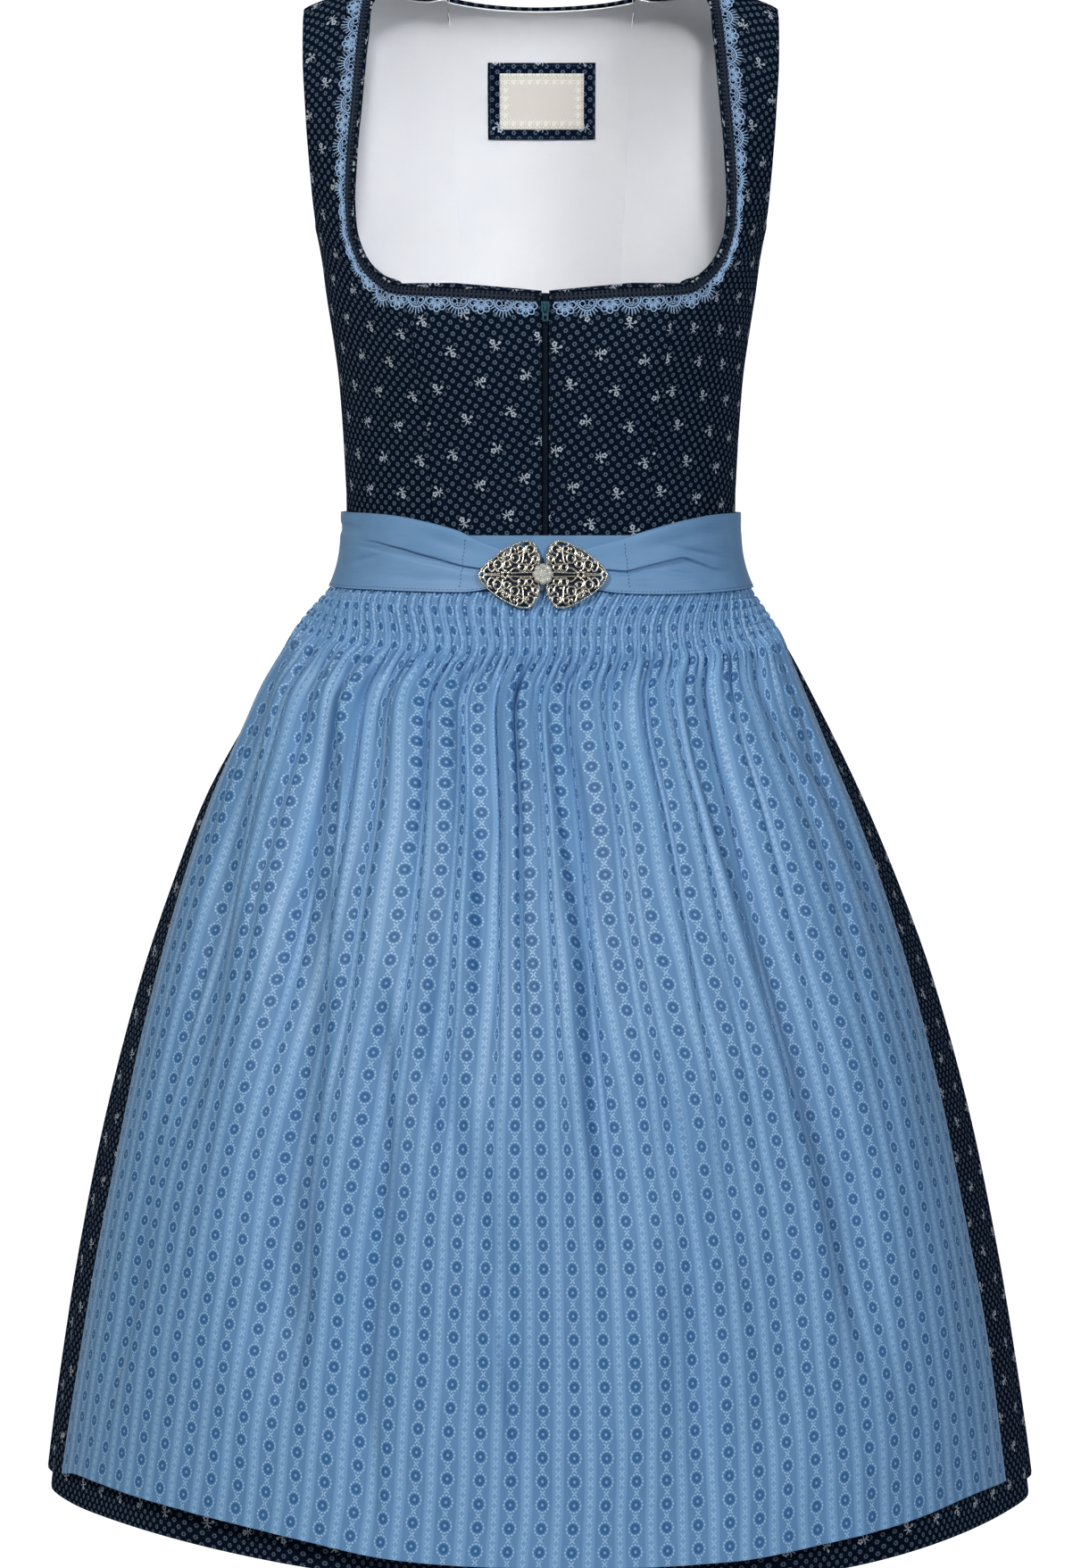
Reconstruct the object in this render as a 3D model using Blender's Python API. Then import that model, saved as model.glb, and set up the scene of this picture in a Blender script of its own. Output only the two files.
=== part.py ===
"""A dirndl as it hangs on an unseen wearer: a fitted bodice with a square neck, a
gathered skirt, and a smocked apron held by a satin belt with a filigree clasp.

Tables are in millimetres and degrees. A drop is a distance below the neck ends of
the shoulder seams, and the origin lies midway between those ends. The front is
towards -Y and the wearer's right is towards -X. A turn goes round the body from 0
at the centre front through 90 at +X to 180 at the centre back."""

import math

import bpy
from mathutils import Vector
from mathutils.geometry import delaunay_2d_cdt

for old in list(bpy.data.objects):
    bpy.data.objects.remove(old, do_unlink=True)

# Driving dimensions
MM = 0.001
CLOTH = 1.2
APRON_CLOTH = 1.0
SATIN = 1.2
SEAM_GAP = 0.3
LAYER_GAP = 0.9
WAIST_DROP = 380.0
HEM_DROP = 1016.0
BELT_TOP = 366.0
BELT_BOTTOM = 403.5
SIDE_TURN = 90.0
BACK_TURN = 180.0

# Outer face of the bodice and skirt, as level sections of a rounded box. The
# first rows follow the shoulder seam from its neck end to its tip.
FORM = (
    # drop, half width, front depth, back depth, squareness
    (0.0, 110.0, 0.0, 0.0, 2.3),
    (2.0, 117.0, 14.0, 31.0, 2.3),
    (6.0, 128.5, 24.0, 50.0, 2.3),
    (12.0, 144.0, 33.0, 64.0, 2.3),
    (18.0, 157.4, 40.0, 72.0, 2.3),
    (30.0, 167.5, 50.0, 80.0, 2.3),
    (55.0, 172.5, 66.0, 87.0, 2.3),
    (95.0, 167.0, 89.0, 94.0, 2.3),
    (140.0, 156.5, 111.0, 97.0, 2.3),
    (163.0, 150.5, 119.5, 97.0, 2.3),
    (183.0, 146.5, 124.0, 96.0, 2.3),
    (207.0, 143.3, 126.5, 94.0, 2.3),
    (234.0, 138.9, 127.0, 91.0, 2.3),
    (260.0, 135.1, 123.5, 87.5, 2.3),
    (284.0, 133.1, 117.5, 84.0, 2.3),
    (322.0, 131.0, 107.0, 79.5, 2.3),
    (351.0, 130.0, 101.0, 77.8, 2.3),
    (380.0, 131.2, 99.5, 79.0, 2.3),
    (404.0, 137.5, 103.5, 86.0, 2.25),
    (440.0, 160.5, 119.5, 107.0, 2.2),
    (485.0, 184.5, 143.0, 134.0, 2.15),
    (547.0, 217.0, 176.0, 168.0, 2.1),
    (609.0, 244.0, 203.0, 196.0, 2.1),
    (668.0, 265.5, 223.0, 216.0, 2.1),
    (759.0, 291.5, 247.0, 240.0, 2.1),
    (850.0, 311.0, 263.0, 256.0, 2.1),
    (935.0, 324.5, 275.0, 267.5, 2.1),
    (1016.0, 335.0, 284.0, 277.0, 2.1),
)

# Soft crowns that the princess seams shape at the bust
BUST_TURN = 34.0
BUST_DROP = 238.0
BUST_SPREAD_TURN = 17.0
BUST_SPREAD_DROP = 42.0
BUST_RISE = 0.055

# Side front with the front half of the strap. Its inner edge is the neckline
# down to the princess seam, its outer edge the armhole and then the side seam.
SIDE_FRONT = (
    # neck or princess x, its drop, armhole or side x, its drop
    (110.0, 0.0, 157.4, 18.0),
    (110.1, 2.0, 157.6, 20.5),
    (110.2, 6.5, 157.7, 26.0),
    (110.4, 15.0, 157.7, 35.0),
    (112.4, 31.0, 157.6, 49.0),
    (114.6, 56.0, 157.0, 68.0),
    (117.0, 85.0, 155.8, 88.0),
    (119.6, 111.0, 154.3, 110.0),
    (121.4, 136.0, 152.7, 129.0),
    (121.6, 154.0, 151.5, 143.0),
    (119.8, 171.0, 150.6, 153.0),
    (113.0, 187.0, 150.1, 160.0),
    (102.5, 197.5, 150.0, 165.0),
    (90.0, 203.3, None, 176.0),
    (86.0, 222.0, None, 200.0),
    (82.0, 247.0, None, 232.0),
    (77.5, 276.0, None, 268.0),
    (73.5, 304.0, None, 302.0),
    (72.0, 331.0, None, 330.0),
    (71.2, 356.0, None, 356.0),
    (71.0, WAIST_DROP, None, WAIST_DROP),
)
CENTRE_FRONT_TOP = 208.5
PRINCESS_START = 13
CENTRE_FRONT_STEPS = 6
SIDE_FRONT_STEPS = 5

# Side back with the back half of the strap, from the back neck and the back
# princess seam out to the armhole and the side seam
SIDE_BACK = (
    # neck or princess x, its drop, armhole or side x, its drop
    (110.0, 0.0, 157.4, 18.0),
    (107.5, 1.0, 157.6, 19.5),
    (103.0, 2.3, 157.6, 23.0),
    (95.0, 3.6, 157.3, 29.0),
    (84.0, 4.7, 156.6, 38.0),
    (73.0, 5.4, 155.2, 50.0),
    (62.0, 6.0, 153.4, 64.0),
    (61.5, 24.0, 151.5, 82.0),
    (60.5, 52.0, 149.8, 103.0),
    (59.5, 86.0, 148.9, 126.0),
    (58.5, 120.0, 149.0, 147.0),
    (57.0, 154.0, 150.0, 165.0),
    (55.5, 188.0, None, 190.0),
    (53.5, 225.0, None, 226.0),
    (51.5, 262.0, None, 262.0),
    (49.5, 298.0, None, 298.0),
    (48.6, 330.0, None, 330.0),
    (48.1, 356.0, None, 356.0),
    (48.0, WAIST_DROP, None, WAIST_DROP),
)
BACK_PRINCESS_START = 6
BACK_NECK_DIP = 5.5
BACK_DIP_FADE = 60.0
SIDE_BACK_STEPS = 5
CENTRE_BACK_STEPS = 6
LINING = 1.0
LINING_GAP = 0.8
LINING_SET_DOWN = 2.0

# Trim along the front neckline, measured from its edge
NECK_STEPS = 12
NECK_TRIM_START = 2.0
NECK_TRIM_OUT = 0.5
BRAID_START = 1.8
BRAID_WIDTH = 6.0
BRAID_RISE = 1.2
BRAID_STEP = 9.0
LACE_START = BRAID_START + BRAID_WIDTH + SEAM_GAP
LACE_WIDTH = 12.0
LACE_RISE = 1.0
LACE_MOTIF = 15.0
LACE_STEPS_PER_MOTIF = 3
LACE_SCALLOP = 2.6

# Zip at the centre front, a little towards +X
ZIP_X = 2.9
ZIP_HALF_WIDTH = 1.9
ZIP_SET_IN = 0.2
ZIP_CLOTH = 1.1
SLIDER_WIDTH = 5.4
SLIDER_HEIGHT = 7.0
SLIDER_THICKNESS = 1.8
SLIDER_DROP = 219.0
SLIDER_BEVEL = 0.5
BAIL_HALF_WIDTH = 0.6
BAIL_REACH = 2.7
BAIL_BAR = 1.1
BAIL_LOW = -2.9
BAIL_HIGH = 2.6
BAIL_ROOT = -0.5
BAIL_CORNER = 0.7
PIVOT_OUT = 0.8
TAB_WIDTH = 4.0
TAB_LENGTH = 9.6
TAB_THICKNESS = 0.8
TAB_EDGE = 0.5
TAB_HOLES = (
    # half width, top, bottom, all from the pivot
    (0.95, -0.4, -3.9),
    (0.9, -5.6, -8.1),
)

# Label inside the centre back: a patch of print, and a plain cream label on it
LABEL_PATCH = (-36.5, 37.5, 46.5, 98.5)
LABEL_PLAIN = (-28.5, 29.5, 53.5, 91.5)
LABEL_CLOTH = 1.0
LABEL_GAP = 0.7

# Skirt levels and the gathers that fall from the waist seam. The front has the
# apron's own levels, so that the apron clears it.
FRONT_LEVELS = (
    WAIST_DROP + SEAM_GAP, 392.0, 404.0, 424.0, 444.0, 470.0, 505.0,
    550.0, 610.0, 690.0, 790.0, 900.0, HEM_DROP,
)
BACK_LEVELS = (
    WAIST_DROP + SEAM_GAP, 392.0, 404.0, 444.0, 505.0, 580.0, 690.0, 840.0, HEM_DROP,
)
GATHER_DEPTH = (
    # drop, depth of a full gather
    (380.0, 0.0),
    (404.0, 0.0),
    (444.0, 3.5),
    (505.0, 6.0),
    (610.0, 8.0),
    (790.0, 9.0),
    (1016.0, 9.5),
)
BACK_GATHERS = 16
FRONT_GATHERS = 8
STEPS_PER_GATHER = 4
GATHER_WANDER = 0.25
GATHER_UNEVEN = 0.3
CALM_TURN = 60.0

# Apron: the drops and half widths of its two side edges, seen from the front
APRON_EDGES = (
    # drop, wearer's right edge, wearer's left edge
    (403.8, 137.0, 137.0),
    (424.0, 150.0, 148.5),
    (444.0, 162.0, 160.0),
    (470.0, 177.0, 171.0),
    (505.0, 193.5, 186.0),
    (550.0, 213.0, 206.0),
    (610.0, 235.0, 228.0),
    (690.0, 257.5, 251.0),
    (790.0, 279.5, 273.0),
    (900.0, 300.0, 293.0),
    (1000.0, 315.0, 305.0),
)
APRON_LEVELS = (444.0, 470.0, 505.0, 550.0, 610.0, 690.0, 790.0, 900.0)
APRON_HEM = 1002.0
APRON_HEM_RISE = 11.0
SMOCK_TOP = BELT_BOTTOM + SEAM_GAP
SMOCK_LEVELS = (SMOCK_TOP, 424.0, 444.0)
SMOCK_RIBS = 140
RIB_RISE = 1.4
APRON_STEPS = 92
APRON_CLEARANCE = (
    # drop, distance of the inner face from the skirt
    (403.8, 0.6),
    (424.0, 1.4),
    (444.0, 2.0),
    (505.0, 2.4),
    (1016.0, 2.6),
)
APRON_LIFT = (
    # drop, how far the folds stand out between their troughs
    (403.8, 0.0),
    (444.0, 0.0),
    (470.0, 4.5),
    (505.0, 8.0),
    (610.0, 10.0),
    (900.0, 9.0),
    (1016.0, 7.5),
)
SMALL_FOLDS = 28
SMALL_FOLD_DEPTH = (
    # drop, depth of the small folds that leave the smocking
    (403.8, 0.0),
    (444.0, 0.8),
    (462.0, 2.6),
    (505.0, 2.0),
    (550.0, 1.0),
    (610.0, 0.0),
    (1016.0, 0.0),
)
# Large troughs between the apron's folds. A place is a share of the half width,
# from -1 at the wearer's right edge to 1, and steep says which flank is sharp.
TROUGHS = (
    # from drop, to drop, depth, half width, steep, places at the drops below
    (425.0, 770.0, 7.0, 0.050, 0, (-0.90, -0.76, -0.71, -0.69, -0.68)),
    (430.0, 960.0, 9.0, 0.060, 1, (-0.58, -0.46, -0.43, -0.41, -0.40)),
    (436.0, 560.0, 5.0, 0.040, 1, (-0.40, -0.36, -0.35, -0.35, -0.35)),
    (440.0, 720.0, 7.0, 0.060, -1, (-0.13, -0.10, -0.08, -0.06, -0.05)),
    (445.0, 830.0, 8.0, 0.055, -1, (0.11, 0.11, 0.13, 0.15, 0.16)),
    (450.0, 580.0, 5.0, 0.040, -1, (0.26, 0.27, 0.28, 0.28, 0.28)),
    (440.0, 900.0, 9.0, 0.060, -1, (0.49, 0.46, 0.53, 0.60, 0.64)),
    (448.0, 640.0, 7.0, 0.050, 0, (0.70, 0.87, 0.90, 0.90, 0.90)),
    (600.0, 1010.0, 5.0, 0.035, 1, (-0.72, -0.74, -0.77, -0.79, -0.80)),
    (640.0, 1030.0, 5.0, 0.032, 1, (-0.37, -0.38, -0.27, -0.26, -0.24)),
    (620.0, 1030.0, 5.0, 0.032, -1, (-0.14, -0.12, -0.18, -0.05, 0.03)),
    (690.0, 1030.0, 5.0, 0.032, 1, (0.30, 0.30, 0.28, 0.30, 0.31)),
    (700.0, 980.0, 4.0, 0.090, 0, (0.40, 0.40, 0.41, 0.43, 0.43)),
)
TROUGH_DROPS = (444.0, 560.0, 680.0, 850.0, 1000.0)
TROUGH_FADE = 45.0
STEEP_SHARE = 0.45
GENTLE_SHARE = 1.5
APRON_EDGE_POWER = 10

# Belt: a satin waistband on the apron, and two bands that run from the centre
# back to the clasp, each with one long pleat
BELT_TURN_STEP = 7.5
WAISTBAND_STEPS = 11
WAISTBAND_DROPS = (BELT_TOP, 380.0, 392.0, BELT_BOTTOM)
BAND_OUT_FRONT = 2.4
BAND_OUT_BACK = 1.2
BAND_EDGES = (
    # distance from the centre front, top on the wearer's right, on the left, bottom
    (16.0, 379.0, 379.0, 396.0),
    (26.0, 376.0, 376.0, 398.5),
    (36.0, 370.6, 372.0, 401.0),
    (52.0, 364.4, 367.5, 403.5),
    (63.0, 360.4, 364.6, 403.5),
    (77.0, 356.5, 361.0, 403.5),
    (91.0, 354.2, 357.4, 403.5),
    (112.0, 352.2, 353.4, 403.5),
    (131.0, 352.2, 352.4, 403.5),
)
BAND_PLEAT = (
    # distance from the centre front, drop of the pleat, rise of the cloth beside it
    (26.0, 388.0, 0.0),
    (41.0, 386.5, 0.3),
    (52.0, 385.0, 0.8),
    (77.0, 378.0, 2.2),
    (97.0, 373.5, 2.4),
    (118.0, 371.0, 1.4),
    (131.0, 371.0, 0.0),
)
BAND_FRONT_STEPS = 11
BAND_BACK_STEPS = 10
BAND_ROWS = (0.0, 0.22, 0.45, 0.68, 1.0)
PLEAT_HALF_WIDTH = 7.0
RIGHT_TOP = 0
LEFT_TOP = 1
BOTTOM = 2
BAND_EASE = (84.0, 110.0)
BAND_SIDE_X = 131.0
BACK_ROUND = 80.0

# Clasp: two pierced leaves that mirror each other about the rosette
CLASP_X = 1.5
CLASP_DROP = 391.6
CLASP_OUTLINE = (
    # across from the rosette, up from it
    (2.0, -5.6), (1.7, -10.3), (3.3, -14.3), (5.2, -18.0), (7.0, -21.2), (10.6, -22.7),
    (15.5, -22.2), (21.2, -20.2), (27.2, -16.9), (32.5, -13.5), (37.2, -9.4), (41.0, -5.2),
    (43.0, -0.5), (41.0, 4.4), (37.2, 8.7), (33.0, 12.0), (27.5, 16.6), (21.2, 19.8),
    (15.9, 22.0), (10.6, 23.1), (6.4, 21.7), (3.9, 18.4), (3.4, 15.6), (1.6, 12.0), (2.0, 6.3),
)
CLASP_HOLES = (
    # across, up, radius
    (7.8, 17.2, 1.9),
    (18.2, 11.2, 2.1),
    (14.0, 4.3, 1.6),
    (14.0, -3.0, 1.6),
    (18.0, -9.5, 2.1),
    (7.8, -15.8, 1.9),
    (28.9, 6.3, 1.9),
    (28.9, -5.8, 1.9),
    (35.8, 0.6, 1.7),
)
CLASP_HOLE_SIDES = 6
CLASP_OUT = 6.7
CLASP_TILT = 13.0
CLASP_THICKNESS = 2.0
ROSETTE_RADIUS = 6.2
ROSETTE_LOBES = 8
ROSETTE_LOBE_RISE = 0.07
ROSETTE_STEPS = 3
ROSETTE_GAP = 0.4
ROSETTE_PROFILE = (
    # share of the radius, distance from the back
    (0.62, 0.0),
    (1.0, 1.0),
    (0.92, 2.2),
    (0.45, 3.4),
)

COLOURS = {
    # finish: red, green, blue, roughness, metallic
    "print": (0.006, 0.010, 0.026, 0.85, 0.0),
    "lining": (0.80, 0.82, 0.86, 0.80, 0.0),
    "braid": (0.004, 0.007, 0.016, 0.75, 0.0),
    "lace": (0.13, 0.27, 0.50, 0.80, 0.0),
    "label": (0.62, 0.58, 0.48, 0.75, 0.0),
    "zip": (0.010, 0.030, 0.045, 0.60, 0.0),
    "slider": (0.020, 0.060, 0.080, 0.35, 0.0),
    "satin": (0.11, 0.23, 0.43, 0.42, 0.0),
    "apron": (0.15, 0.31, 0.56, 0.60, 0.0),
    "silver": (0.52, 0.50, 0.45, 0.35, 1.0),
    "glass": (0.50, 0.52, 0.46, 0.15, 0.0),
}


# Reading the tables
def smooth(rows, at):
    """Reads a table at any value of its first column, on cubics through its rows."""
    keys = [row[0] for row in rows]
    last = len(keys) - 1
    at = min(max(at, keys[0]), keys[last])
    k = max(i for i in range(last) if keys[i] <= at)
    span = keys[k + 1] - keys[k]
    f = (at - keys[k]) / span
    values = []
    for column in range(1, len(rows[0])):
        slopes = []
        for i in (k, k + 1):
            low = max(i - 1, 0)
            high = min(i + 1, last)
            slopes.append((rows[high][column] - rows[low][column]) / (keys[high] - keys[low]))
        start = rows[k][column] * (1 + 2 * f) * (1 - f) ** 2 + slopes[0] * span * f * (1 - f) ** 2
        end = rows[k + 1][column] * f * f * (3 - 2 * f) - slopes[1] * span * f * f * (1 - f)
        values.append(start + end)
    return values


def eased(start, end, at):
    """Goes from 0 to 1 as at goes from start to end, level at both."""
    f = min(max((at - start) / (end - start), 0.0), 1.0)
    return f * f * (3 - 2 * f)


# The root of the drop spaces the rows evenly over the round of the shoulder
FORM_BY_ROOT = [(math.sqrt(row[0]),) + row[1:] for row in FORM]


def section(drop):
    return smooth(FORM_BY_ROOT, math.sqrt(max(drop, 0.0)))


def bust(turn, drop):
    aside = (abs(turn) - BUST_TURN) / BUST_SPREAD_TURN
    below = (drop - BUST_DROP) / BUST_SPREAD_DROP
    return 1.0 + BUST_RISE * math.exp(-aside * aside - below * below)


def form_point(turn, drop, out=0.0):
    """A point on the garment's outer face, or out from it along its normal."""
    half_width, front, back, squareness = section(drop)
    angle = math.radians(turn)
    s, c = math.sin(angle), math.cos(angle)
    reach = (abs(s) ** squareness + abs(c) ** squareness) ** (-1.0 / squareness)
    depth = front * bust(turn, drop) if c > 0 else back
    point = Vector((half_width * reach * s, -depth * reach * c, -drop))
    if out:
        point += form_normal(turn, drop) * out
    return point


def form_normal(turn, drop):
    across = form_point(turn + 0.5, drop) - form_point(turn - 0.5, drop)
    down = form_point(turn, drop + 0.5) - form_point(turn, drop - 0.5)
    return down.cross(across).normalized()


def turn_at(x, drop, out=0.0):
    """The turn at which the front of a section reaches x, up to 90 at its side."""
    half_width, _, _, squareness = section(drop)
    share = min(abs(x) / (half_width + out), 1.0) ** squareness
    if share >= 1.0:
        return SIDE_TURN
    return math.degrees(math.atan((share / (1.0 - share)) ** (1.0 / squareness)))


def outside(point):
    """Above 0 outside the bodice's form and below 0 inside it."""
    drop = -point.z
    if drop <= 0:
        return 1.0 - drop
    half_width, front, back, squareness = section(drop)
    depth = back
    if point.y < 0:
        turn = math.degrees(math.atan2(point.x / half_width, -point.y / front))
        depth = front * bust(turn, drop)
    total = (abs(point.x) / half_width) ** squareness + (abs(point.y) / depth) ** squareness
    return total ** (1.0 / squareness) - 1.0


def slope_of_form(point):
    """The outward direction at a point on the bodice, right up to the shoulder."""
    step = 0.2
    below = Vector((point.x, point.y, min(point.z, -2 * step)))
    axes = (Vector((step, 0, 0)), Vector((0, step, 0)), Vector((0, 0, step)))
    return Vector([outside(below + a) - outside(below - a) for a in axes]).normalized()


def settled(point, direction, reach=12.0):
    """Moves a point along a direction onto the bodice's outer face."""
    low, high = -reach, reach
    for _ in range(30):
        middle = (low + high) / 2
        if outside(point + direction * middle) > 0:
            high = middle
        else:
            low = middle
    return point + direction * high


# Grids of points: rows run down, and each row runs towards a larger turn
def grid_normals(rows):
    """Outward directions over a grid, from its own points."""
    normals = []
    last = len(rows) - 1
    for j, row in enumerate(rows):
        line = []
        for i in range(len(row)):
            across = row[min(i + 1, len(row) - 1)] - row[max(i - 1, 0)]
            down = rows[min(j + 1, last)][i] - rows[max(j - 1, 0)][i]
            line.append(down.cross(across).normalized())
        normals.append(line)
    return normals


def form_normals(rows):
    """Outward directions from the form, alike on both sides of a seam."""
    return [[slope_of_form(p) for p in row] for row in rows]


def moved_out(rows, normals, out):
    return [[p + n * out for p, n in zip(row, line)] for row, line in zip(rows, normals)]


def drawn_in(rows, top=0.0, bottom=0.0, start=0.0, end=0.0):
    """Draws a grid's borders in along its surface, by a distance for each border."""
    rows = [[p.copy() for p in row] for row in rows]
    for row in rows:
        row[0] += (row[1] - row[0]).normalized() * start
        row[-1] += (row[-2] - row[-1]).normalized() * end
    rows[0] = [p + (q - p).normalized() * top for p, q in zip(rows[0], rows[1])]
    rows[-1] = [p + (q - p).normalized() * bottom for p, q in zip(rows[-1], rows[-2])]
    return rows


def mirrored(rows):
    """The same grid on the wearer's other side."""
    return [[Vector((-p.x, p.y, p.z)) for p in reversed(row)] for row in rows]


def join_rows(faces, upper, lower):
    """Fills the strip between two rows of vertex numbers, also of unlike counts."""
    i = j = 0
    while i < len(upper) - 1 or j < len(lower) - 1:
        next_upper = (i + 1) / (len(upper) - 1)
        next_lower = (j + 1) / (len(lower) - 1)
        if next_lower <= next_upper and j < len(lower) - 1:
            faces.append((upper[i], lower[j], lower[j + 1]))
            j += 1
        else:
            faces.append((upper[i], lower[j], upper[i + 1]))
            i += 1


# Objects and their materials
def new_object(name, verts, faces, finish):
    """Makes one named solid from millimetre points, with its own material."""
    mesh = bpy.data.meshes.new(name)
    mesh.from_pydata([Vector(v) * MM for v in verts], [], faces)
    mesh.shade_smooth()
    mesh.set_sharp_from_angle(angle=math.radians(40))
    obj = bpy.data.objects.new(name, mesh)
    bpy.context.scene.collection.objects.link(obj)
    red, green, blue, roughness, metallic = COLOURS[finish]
    material = bpy.data.materials.new(name)
    material.use_nodes = True
    shader = material.node_tree.nodes["Principled BSDF"]
    shader.inputs["Base Color"].default_value = (red, green, blue, 1.0)
    shader.inputs["Roughness"].default_value = roughness
    shader.inputs["Metallic"].default_value = metallic
    mesh.materials.append(material)
    return obj


def wall(name, outer, inner, finish):
    """One closed cloth wall between an outer and an inner grid of points."""
    verts = []
    numbered = []
    for grid in (outer, inner):
        rows = []
        for row in grid:
            rows.append(list(range(len(verts), len(verts) + len(row))))
            verts.extend(row)
        numbered.append(rows)
    front, back = numbered
    faces = []
    for j in range(len(front) - 1):
        join_rows(faces, front[j], front[j + 1])
        behind = []
        join_rows(behind, back[j], back[j + 1])
        faces += [tuple(reversed(face)) for face in behind]
    join_rows(faces, back[0], front[0])
    join_rows(faces, front[-1], back[-1])
    join_rows(faces, [row[0] for row in front], [row[0] for row in back])
    join_rows(faces, [row[-1] for row in back], [row[-1] for row in front])
    return new_object(name, verts, faces, finish)


def cloth_wall(name, rows, normals, thickness, finish, behind=0.0):
    """A wall that starts a distance behind the grid and goes on inwards."""
    outer = moved_out(rows, normals, -behind)
    return wall(name, outer, moved_out(rows, normals, -behind - thickness), finish)


def plate(name, outline, holes, to_world, thickness, finish):
    """A flat plate with holes. to_world places (across, up, out) points."""
    loops = [outline] + holes
    points = [Vector(p) for loop in loops for p in loop]
    numbers = []
    for loop in loops:
        start = sum(len(part) for part in numbers)
        numbers.append(list(range(start, start + len(loop))))
    edges = [(loop[k], loop[(k + 1) % len(loop)]) for loop in numbers for k in range(len(loop))]
    flat, _, triangles, _, _, _ = delaunay_2d_cdt(points, edges, [], 0, 1e-5)
    triangles = [t for t in triangles if on_the_plate(t, flat, loops)]
    verts = [to_world(p.x, p.y, 0.0) for p in flat]
    verts += [to_world(p.x, p.y, thickness) for p in flat]
    count = len(flat)
    faces = [tuple(reversed(t)) for t in triangles]
    faces += [tuple(k + count for k in t) for t in triangles]
    used = {(t[k], t[(k + 1) % 3]) for t in triangles for k in range(3)}
    for a, b in used:
        if (b, a) not in used:
            faces.append((a, b, b + count, a + count))
    return new_object(name, verts, faces, finish)


def on_the_plate(triangle, flat, loops):
    """True where a triangle's middle lies inside the outline and in none of the holes."""
    middle = sum((flat[k] for k in triangle), Vector((0, 0))) / len(triangle)
    crossings = 0
    for loop in loops:
        for k, (x, y) in enumerate(loop):
            next_x, next_y = loop[(k + 1) % len(loop)]
            if (y > middle.y) != (next_y > middle.y):
                crossings += middle.x < x + (next_x - x) * (middle.y - y) / (next_y - y)
    return crossings % 2 == 1


# Bodice
def edge_turn(x, drop):
    return SIDE_TURN if x is None else turn_at(x, drop)


def side_front_rows():
    rows = []
    for inner_x, inner_drop, outer_x, outer_drop in SIDE_FRONT:
        inner_turn = edge_turn(inner_x, inner_drop)
        outer_turn = edge_turn(outer_x, outer_drop)
        row = []
        for i in range(SIDE_FRONT_STEPS + 1):
            f = i / SIDE_FRONT_STEPS
            turn = inner_turn + (outer_turn - inner_turn) * f
            row.append(form_point(turn, inner_drop + (outer_drop - inner_drop) * f))
        rows.append(row)
    return rows


def centre_front_rows(centre_x):
    """From the zip at centre_x to the princess seam."""
    rows = []
    for k, (princess_x, princess_drop, _, _) in enumerate(SIDE_FRONT[PRINCESS_START:]):
        centre_drop = CENTRE_FRONT_TOP if k == 0 else princess_drop
        row = []
        for i in range(CENTRE_FRONT_STEPS + 1):
            f = i / CENTRE_FRONT_STEPS
            drop = centre_drop + (princess_drop - centre_drop) * min(1.0, 1.6 * f)
            x = centre_x + (princess_x - centre_x) * f
            turn = turn_at(x, drop)
            row.append(form_point(turn if x >= 0 else -turn, drop))
        rows.append(row)
    return rows


def side_back_rows():
    rows = []
    for inner_x, inner_drop, outer_x, outer_drop in SIDE_BACK:
        inner_turn = BACK_TURN - edge_turn(inner_x, inner_drop)
        outer_turn = BACK_TURN - edge_turn(outer_x, outer_drop)
        row = []
        for i in range(SIDE_BACK_STEPS + 1):
            f = i / SIDE_BACK_STEPS
            turn = outer_turn + (inner_turn - outer_turn) * f
            row.append(form_point(turn, outer_drop + (inner_drop - outer_drop) * f))
        rows.append(row)
    return rows


def centre_back_rows():
    rows = []
    for princess_x, princess_drop, _, _ in SIDE_BACK[BACK_PRINCESS_START:]:
        reach = turn_at(princess_x, princess_drop)
        fade = 1.0 - eased(0.0, BACK_DIP_FADE, princess_drop - 6.0)
        row = []
        for i in range(CENTRE_BACK_STEPS + 1):
            f = 2.0 * i / CENTRE_BACK_STEPS - 1.0
            drop = princess_drop + BACK_NECK_DIP * fade * (1.0 - f * f)
            row.append(form_point(BACK_TURN + reach * f, drop))
        rows.append(row)
    return rows


def bodice_panel(name, rows, thickness=CLOTH, finish="print", behind=0.0):
    cloth_wall(name, rows, form_normals(rows), thickness, finish, behind)


def build_bodice():
    half = SEAM_GAP / 2
    side_front = drawn_in(side_front_rows(), half, half, half, half)
    bodice_panel("side_front_left", side_front)
    bodice_panel("side_front_right", mirrored(side_front))
    left = centre_front_rows(ZIP_X + ZIP_HALF_WIDTH + SEAM_GAP)
    bodice_panel("centre_front_left", drawn_in(left, bottom=half, end=half))
    right = mirrored(centre_front_rows(ZIP_HALF_WIDTH + SEAM_GAP - ZIP_X))
    bodice_panel("centre_front_right", drawn_in(right, bottom=half, start=half))
    build_back()


def lined_rows(rows):
    """The side back's grid for its lining, set in from the neck and the armhole."""
    half = SEAM_GAP / 2
    lined = drawn_in(rows, top=half, bottom=half)
    for k, row in enumerate(lined):
        at_neck = LINING_SET_DOWN if k <= BACK_PRINCESS_START else half
        at_arm = LINING_SET_DOWN if SIDE_BACK[k][2] else half
        row[0] += (row[1] - row[0]).normalized() * at_arm
        row[-1] += (row[-2] - row[-1]).normalized() * at_neck
    return lined


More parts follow.
